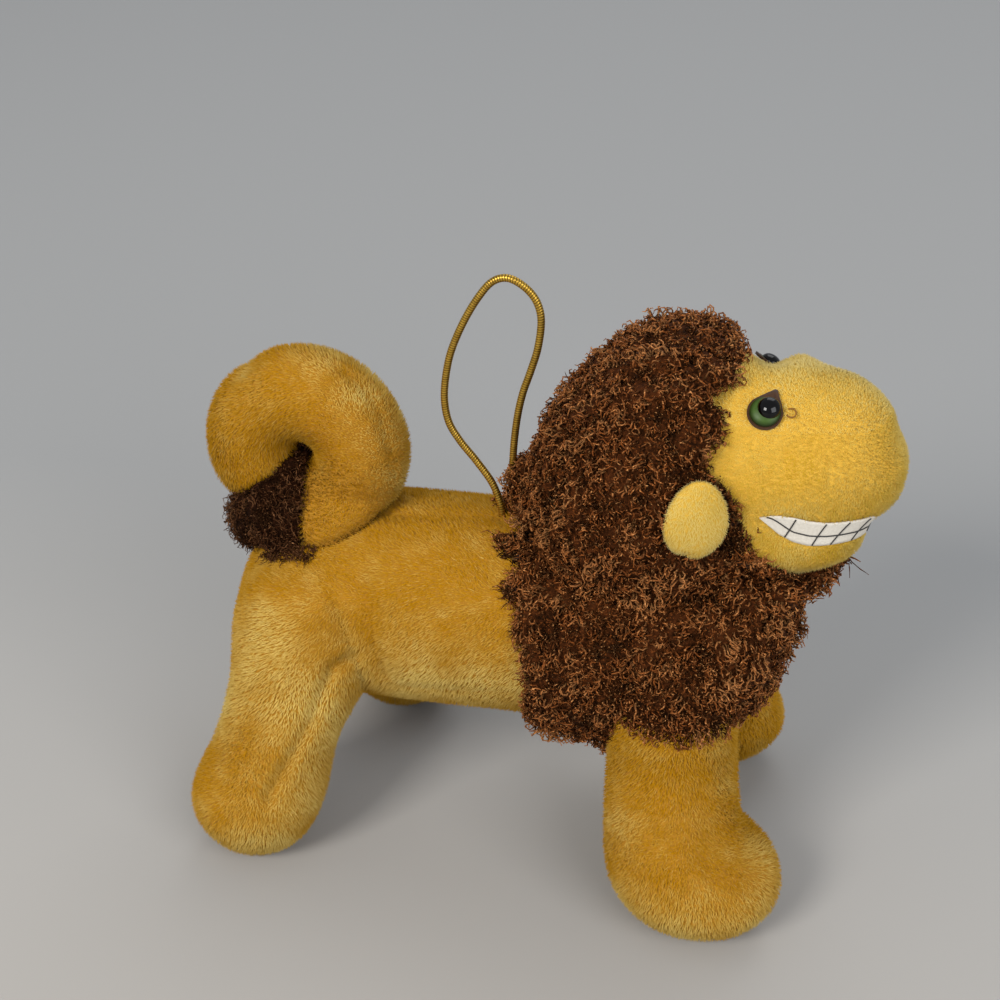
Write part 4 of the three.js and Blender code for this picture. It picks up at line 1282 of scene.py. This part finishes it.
# A dome: a sphere flattened along the way the eye looks, set into what is under it
def makeDome(name, place, shift, radius, height, lift):
    centre = place["middle"] + shift[0] * place["forward"] + shift[1] * place["rise"] + lift * place["look"]

    def onEye(sphere):
        flat = (sphere[:, :1] * place["forward"] + sphere[:, 1:2] * place["rise"]) * radius
        up = sphere[:, 2:] * place["look"] * np.where(sphere[:, 2:] > 0, height, eyes["under"])
        return centre + flat + up

    piece, sphere = makeBall(name, 40, 24, onEye)
    markSkin(piece, "rim", np.linalg.norm(sphere[:, :2], axis=1))
    return piece


def irisFinish():
    finish = Finish("greenIris", {"Roughness": 0.42, "Specular IOR Level": 0.25})
    rim = finish.attribute("rim")
    fleck = finish.noise(1600.0, 2.0)
    stops = [(0.0, shade("#20320e")), (0.7, shade("#3c561a")), (0.88, shade("#2a3e10")),
             (1.0, shade("#0c1406"))]
    ring = finish.node("ShaderNodeValToRGB", {"stops": stops}, {"Fac": rim})
    finish.colour(finish.mix((fleck - 0.45) * 0.5, ring, shade("#1c2c0b")))
    return finish


def pupilFinish():
    finish = Finish("blackPupil", {"Roughness": 0.07, "Specular IOR Level": 0.3})
    finish.colour(finish.mix(finish.noise(600.0), shade("#020202"), shade("#060505")))
    return finish


irisGreen, pupilBlack = irisFinish(), pupilFinish()
feltCloth = wovenFinish("brownFelt", 0.95, 1800.0, "#2a1606", "#4c2d10")
mouthThread = skinFinish("brownThread", "#7c5016", "#9c6c26", 2400.0)


def makeEye(name, side):
    place = eyePlace(side)
    sides = 72
    turn = 2 * np.pi * np.arange(sides) / sides
    far = side == leftSide
    peakTurn = np.radians(eyes["farPeakTurn"] if far else 90 - eyes["peakLean"])
    half = np.arccos(eyes["felt"] / eyes["farPeak" if far else "peak"])
    off = np.abs((turn - peakTurn + np.pi) % (2 * np.pi) - np.pi)
    radii = np.where(off < half, eyes["felt"] / np.cos(half - off), eyes["felt"])
    felt = layOnHead(name + "_eye_brow_felt", place, radii, 5, 0.2, eyes["feltThick"])
    dress(felt, feltCloth, replaced=(name + "_eye_felt",))
    height = eyes["irisHeight"] * (eyes["farIris"] if far else 1)
    iris = makeDome(name + "_eye_iris", place, (0, 0), eyes["iris"], height, eyes["irisLift"])
    dress(iris, irisGreen, replaced=(name + "_eye",))
    shift = (0, 0) if far else eyes["pupilShift"]
    lift = eyes["farPupilLift" if far else "pupilLift"]
    pupil = makeDome(name + "_eye_pupil", place, shift, eyes["pupil"], eyes["pupilHeight"], lift)
    dress(pupil, pupilBlack, parent=iris)
    if side == rightSide:
        turn = np.radians(np.linspace(-150, 130, 24))
        ahead, rise = 4.6 + 0.85 * np.cos(turn), 0.5 + 0.85 * np.sin(turn)
        line = downOnHead(place, np.stack([ahead, rise], axis=1), 0.1)
        path, _ = evenPath(line, 0.25)
        dress(tubeMesh("eye_corner_thread", path, 0.16, 6), mouthThread, parent=felt)


# Ears: small ovals of the face cloth, sewn at the top and hanging over the mane
ear = {"halves": (6.4, 2.6), "height": 8.5, "centre": (33.8, 23.7, 87.8), "turn": 24,
       "notch": (-1.6, 2.0, -8.0), "notchSize": 1.5, "notchDepth": 1.6}
earLook = {**faceLook, "density": 10.5, "length": 0.6, "width": 0.25, "lean": 50}


def makeEar(name, side):
    rng = np.random.default_rng(81 + side)
    rows = scaled([[0, 0, 1, 1], [0, 0, 1.04, 1.05], [0, 0, 0.96, 1], [0, 0, 0.86, 0.9]],
                  (0, 0), ear["halves"])
    form = Moved(Form("z", -ear["height"], ear["height"], 2.1, rows), -side * ear["turn"],
                 (ear["centre"][0], side * ear["centre"][1], ear["centre"][2]))
    skin = makeSkin(name + "_ear_cloth", form, 40, 28, -faceLook["backing"])
    notch = form.shift + np.array(ear["notch"]) * (1, side, 1)
    away = np.linalg.norm(readSkin(skin)[0] - notch, axis=1)
    pushSkin(skin, -ear["notchDepth"] * np.exp(-(away / ear["notchSize"]) ** 2))
    dress(skin, faceBacking, body=name + "_ear", replaced=(name + "_ear",))
    at, out = scatter(skin, earLook["density"], rng)
    nap = np.array([-0.2, 0, -1]) + 0.4 * swirlVectors(at, 7, 5)
    pale = np.clip(0.95 + 0.25 * swirl(at, 5, 3), 0, 1)
    plantPile(name + "_ear_pile", skin, at, out, nap, earLook, rng, pale, 0 * pale, facePile)


faceCloth = makeFaceCloth("face_cloth_form", skull, [chest], 71, ("head_cover",))
chinCloth = makeFaceCloth("chin_form", jaw, [skull, chest], 72, ("chin",))
makeFringe("brow_curls", faceCloth, alongFace(1, 76), 2.2, (0.4, 0, -0.2), 73)
makeFringe("chin_edge_curls", chinCloth, alongFace(2.4, 66.5), 4.8, (0.2, 0, 0.3), 74)
makeGrin()
for name, side in (("right", rightSide), ("left", leftSide)):
    makeEye(name, side)
    makeEar(name, side)
print("face, eyes and ears made")


# Hem of the mane over the tops of the front legs: cut off at a height in millimetres, with a lean
hem = {"height": 42.5, "lean": 0.03}


def makeManeHem(side, name):
    form = legs[name + "_front_leg"]
    rng = np.random.default_rng(91 + side)
    skin = makeSkin(name + "_leg_mane", form, 90, 70, -plushLook["backing"] + 0.5)
    editAll(skin, bpy.ops.mesh.bisect, plane_co=(0, 0, hem["height"] * mm), plane_no=(hem["lean"], 0, 1),
            clear_inner=True, use_fill=True)
    markSkin(skin, "lump", 0.4 + 0.35 * swirl(readSkin(skin)[0], 2.0, 31))
    dress(skin, maneBacking)
    at, out = scatter(skin, maneLook["fibres"], rng, lambda at, out: (
        ~hiddenIn(at, [chest], maneLook["backing"] + 0.6) & (out[:, 2] > -0.9)))
    lay = 0.8 * rng.normal(size=at.shape) + np.array([-0.1, 0, -1.0])
    plantFibres(name + "_leg_mane_curls", skin, at, out, lay, maneLook, rng)


for name, side in (("right", rightSide), ("left", leftSide)):
    makeManeHem(side, name)

# Tuft: finer, darker wool than the mane
tuftLook = {
    **maneLook,
    "backing": 1.9, "lump": 1.5, "lumpHeight": 0.7, "fibres": 2.0, "clump": 4.0, "lockRise": 0.8,
    "thick": 0.12, "length": 1.9, "rise": 1.1, "curl": 0.32, "turns": 1.3,
    "root": "#080302", "middle": "#1f0e07", "tip": "#452512", "glint": "#a87850",
}
tuftCurls = curlFinish("tuftCurls", tuftLook)
tuftBacking = woolFinish("tuftBacking", tuftLook)


# The tuft spills over the near side of the rump
@onSkin
def spillTuft(points):
    near, low = np.clip(-points[:, 1] / 10, 0, 1), np.clip((74 - points[:, 2]) / 9, 0, 1)
    points += (near * low)[:, None] * np.array([0.6, -2.8, -2.4])
    back = np.clip((-55 - points[:, 0]) / 6, 0, 1) * np.clip((68 - points[:, 2]) / 5, 0, 1)
    points += back[:, None] * np.array([-1.4, -0.6, -3.2])


# Fibres of the tuft that spread over the rump, along a line
spill = {
    "density": 7.0, "reach": 1.9,
    "line": [(-64, -7, 63), (-61, -9, 61.8), (-55, -10.8, 61.5), (-47.8, -12.5, 63.5), (-44, -12.8, 64)],
}


def onSpill(at, out):
    return toLine(at, spill["line"]) < spill["reach"]


def makeTuft():
    rng = np.random.default_rng(95)
    skin = makeWool("tail_tuft_form", tuftCurl, 110, 80, tuftLook)
    spillTuft(skin)
    dress(skin, tuftBacking, replaced=("tail_tuft",))
    at, out = scatter(skin, tuftLook["fibres"], rng, lambda at, out: (
        ~hiddenIn(at, [barrel], 1.0) & ~hiddenIn(at, [tailCurl], 0.2)))
    lay = downTail(at) + 0.9 * rng.normal(size=at.shape)
    plantFibres("tail_tuft_curls", skin, at, out, lay, tuftLook, rng, tuftCurls)
    at, out = scatter(torso, spill["density"], rng, onSpill)
    lay = 0.8 * rng.normal(size=at.shape) + np.array([-0.3, -0.6, -1.0])
    plantFibres("tuft_spill_curls", skin, at, out, lay, tuftLook, rng, tuftCurls)


makeTuft()


# Beard: the mane stands forward under the chin
beard = Form("y", -16, 16, 2.4, [[68.2, 49.8, 4.2, 5.8], [68.2, 52.6, 4.4, 6.0], [68.4, 54.6, 4.5, 6.2],
                                 [68.2, 52.6, 4.4, 6.0], [68.2, 49.8, 4.2, 5.8]])
wispLook = {**maneLook, "length": 5.0, "rise": 1.0, "lock": 6.0, "gather": 0.8}


def makeBeard():
    rng = np.random.default_rng(97)
    skin = makeWool("chin_mane_form", beard, 100, 64, {**maneLook, "backing": 1.4})
    dress(skin, maneBacking)
    at, out = scatter(skin, maneLook["fibres"], rng, lambda at, out: (
        ~hiddenIn(at, [chest], 2.5) & ~hiddenIn(at, [jaw], -0.5)))
    lay = maneLay(at, rng, 9) + np.array([0.8, 0, 0.3])
    plantFibres("chin_mane_curls", skin, at, out, lay, maneLook, rng)
    front = (at[:, 0] > 57.5) & (at[:, 2] > 67.2) & (at[:, 1] < 2) & (at[:, 1] > -8)
    lay = np.array([1.0, 0, 0.9]) + 0.35 * rng.normal(size=(front.sum(), 3))
    plantFibres("chin_wisps", skin, at[front], out[front], lay, wispLook, rng)


makeBeard()
print("mane hem, tuft and beard made")


# The knot inside the toy keeps its plain shape and gets the cord's finish
knot = bpy.data.objects["cord_knot"].data
knot.materials.clear()
knot.materials.append(goldCord.material)
washerPlastic = wovenFinish("washerPlastic", 0.4, 900.0, "#d6d6d0", "#e6e6e0")


# The washers behind the eyes; the left one lies deeper, under the sunken cloth
def makeWasher(name, deeper):
    node = bpy.data.objects[name]
    piece = node.copy()
    piece.data = node.data.copy()
    piece.name = piece.data.name = name + "_disc"
    piece.parent = None
    bpy.context.collection.objects.link(piece)
    editAll(piece, bpy.ops.mesh.remove_doubles, threshold=0.00001)
    placeSkin(piece, readSkin(piece)[0] - deeper)
    dress(piece, washerPlastic, replaced=(name,))


farDepth = 1.7
makeWasher("right_eye_washer", 0)
makeWasher("left_eye_washer", farDepth * eyePlace(leftSide)["look"])


def makeStage():
    bpy.ops.mesh.primitive_plane_add(size=6.0, location=(0, 0, 0))
    floor = bpy.context.object
    floor.name = "floor"
    finish = Finish("paleFloor", {"Roughness": 0.75})
    # The floor is painted darker toward the back: painted fall-off of the light
    place = finish.node("ShaderNodeSeparateXYZ", None, {0: finish.place()}, output=1)
    farShade = finish.node("ShaderNodeMapRange", None, {0: place, 1: -0.08, 2: 0.12, 3: 0.0, 4: 1.0})
    finish.colour(finish.mix(farShade, shade("#aca8a2"), shade("#9b9b9a")))
    floor.data.materials.append(finish.material)
    bpy.ops.object.select_all(action="DESELECT")


lamps = [
    {"place": (-0.8, -1.5, 1.15), "size": 0.7, "power": 30.0, "colour": (1.0, 0.97, 0.93)},
    {"place": (1.4, -1.3, 1.0), "size": 1.4, "power": 26.0, "colour": (0.97, 0.98, 1.0)},
    {"place": (0.2, 1.4, 1.8), "size": 1.4, "power": 12.0, "colour": (0.97, 0.98, 1.0)},
]


def lightUp():
    for lamp in lamps:
        bpy.ops.object.light_add(type="AREA", location=lamp["place"])
        light = bpy.context.object
        light.rotation_euler = (-Vector(lamp["place"])).to_track_quat("-Z", "Y").to_euler()
        light.data.size = lamp["size"]
        light.data.energy = lamp["power"]
        light.data.color = lamp["colour"]
    world = bpy.context.scene.world or bpy.data.worlds.new("softSky")
    bpy.context.scene.world = world
    world.use_nodes = True
    sky = world.node_tree.nodes["Background"]
    sky.inputs["Color"].default_value = (0.9, 0.94, 1.0, 1.0)
    sky.inputs["Strength"].default_value = 0.45
    bpy.context.scene.view_settings.view_transform = "Standard"


makeStage()
lightUp()
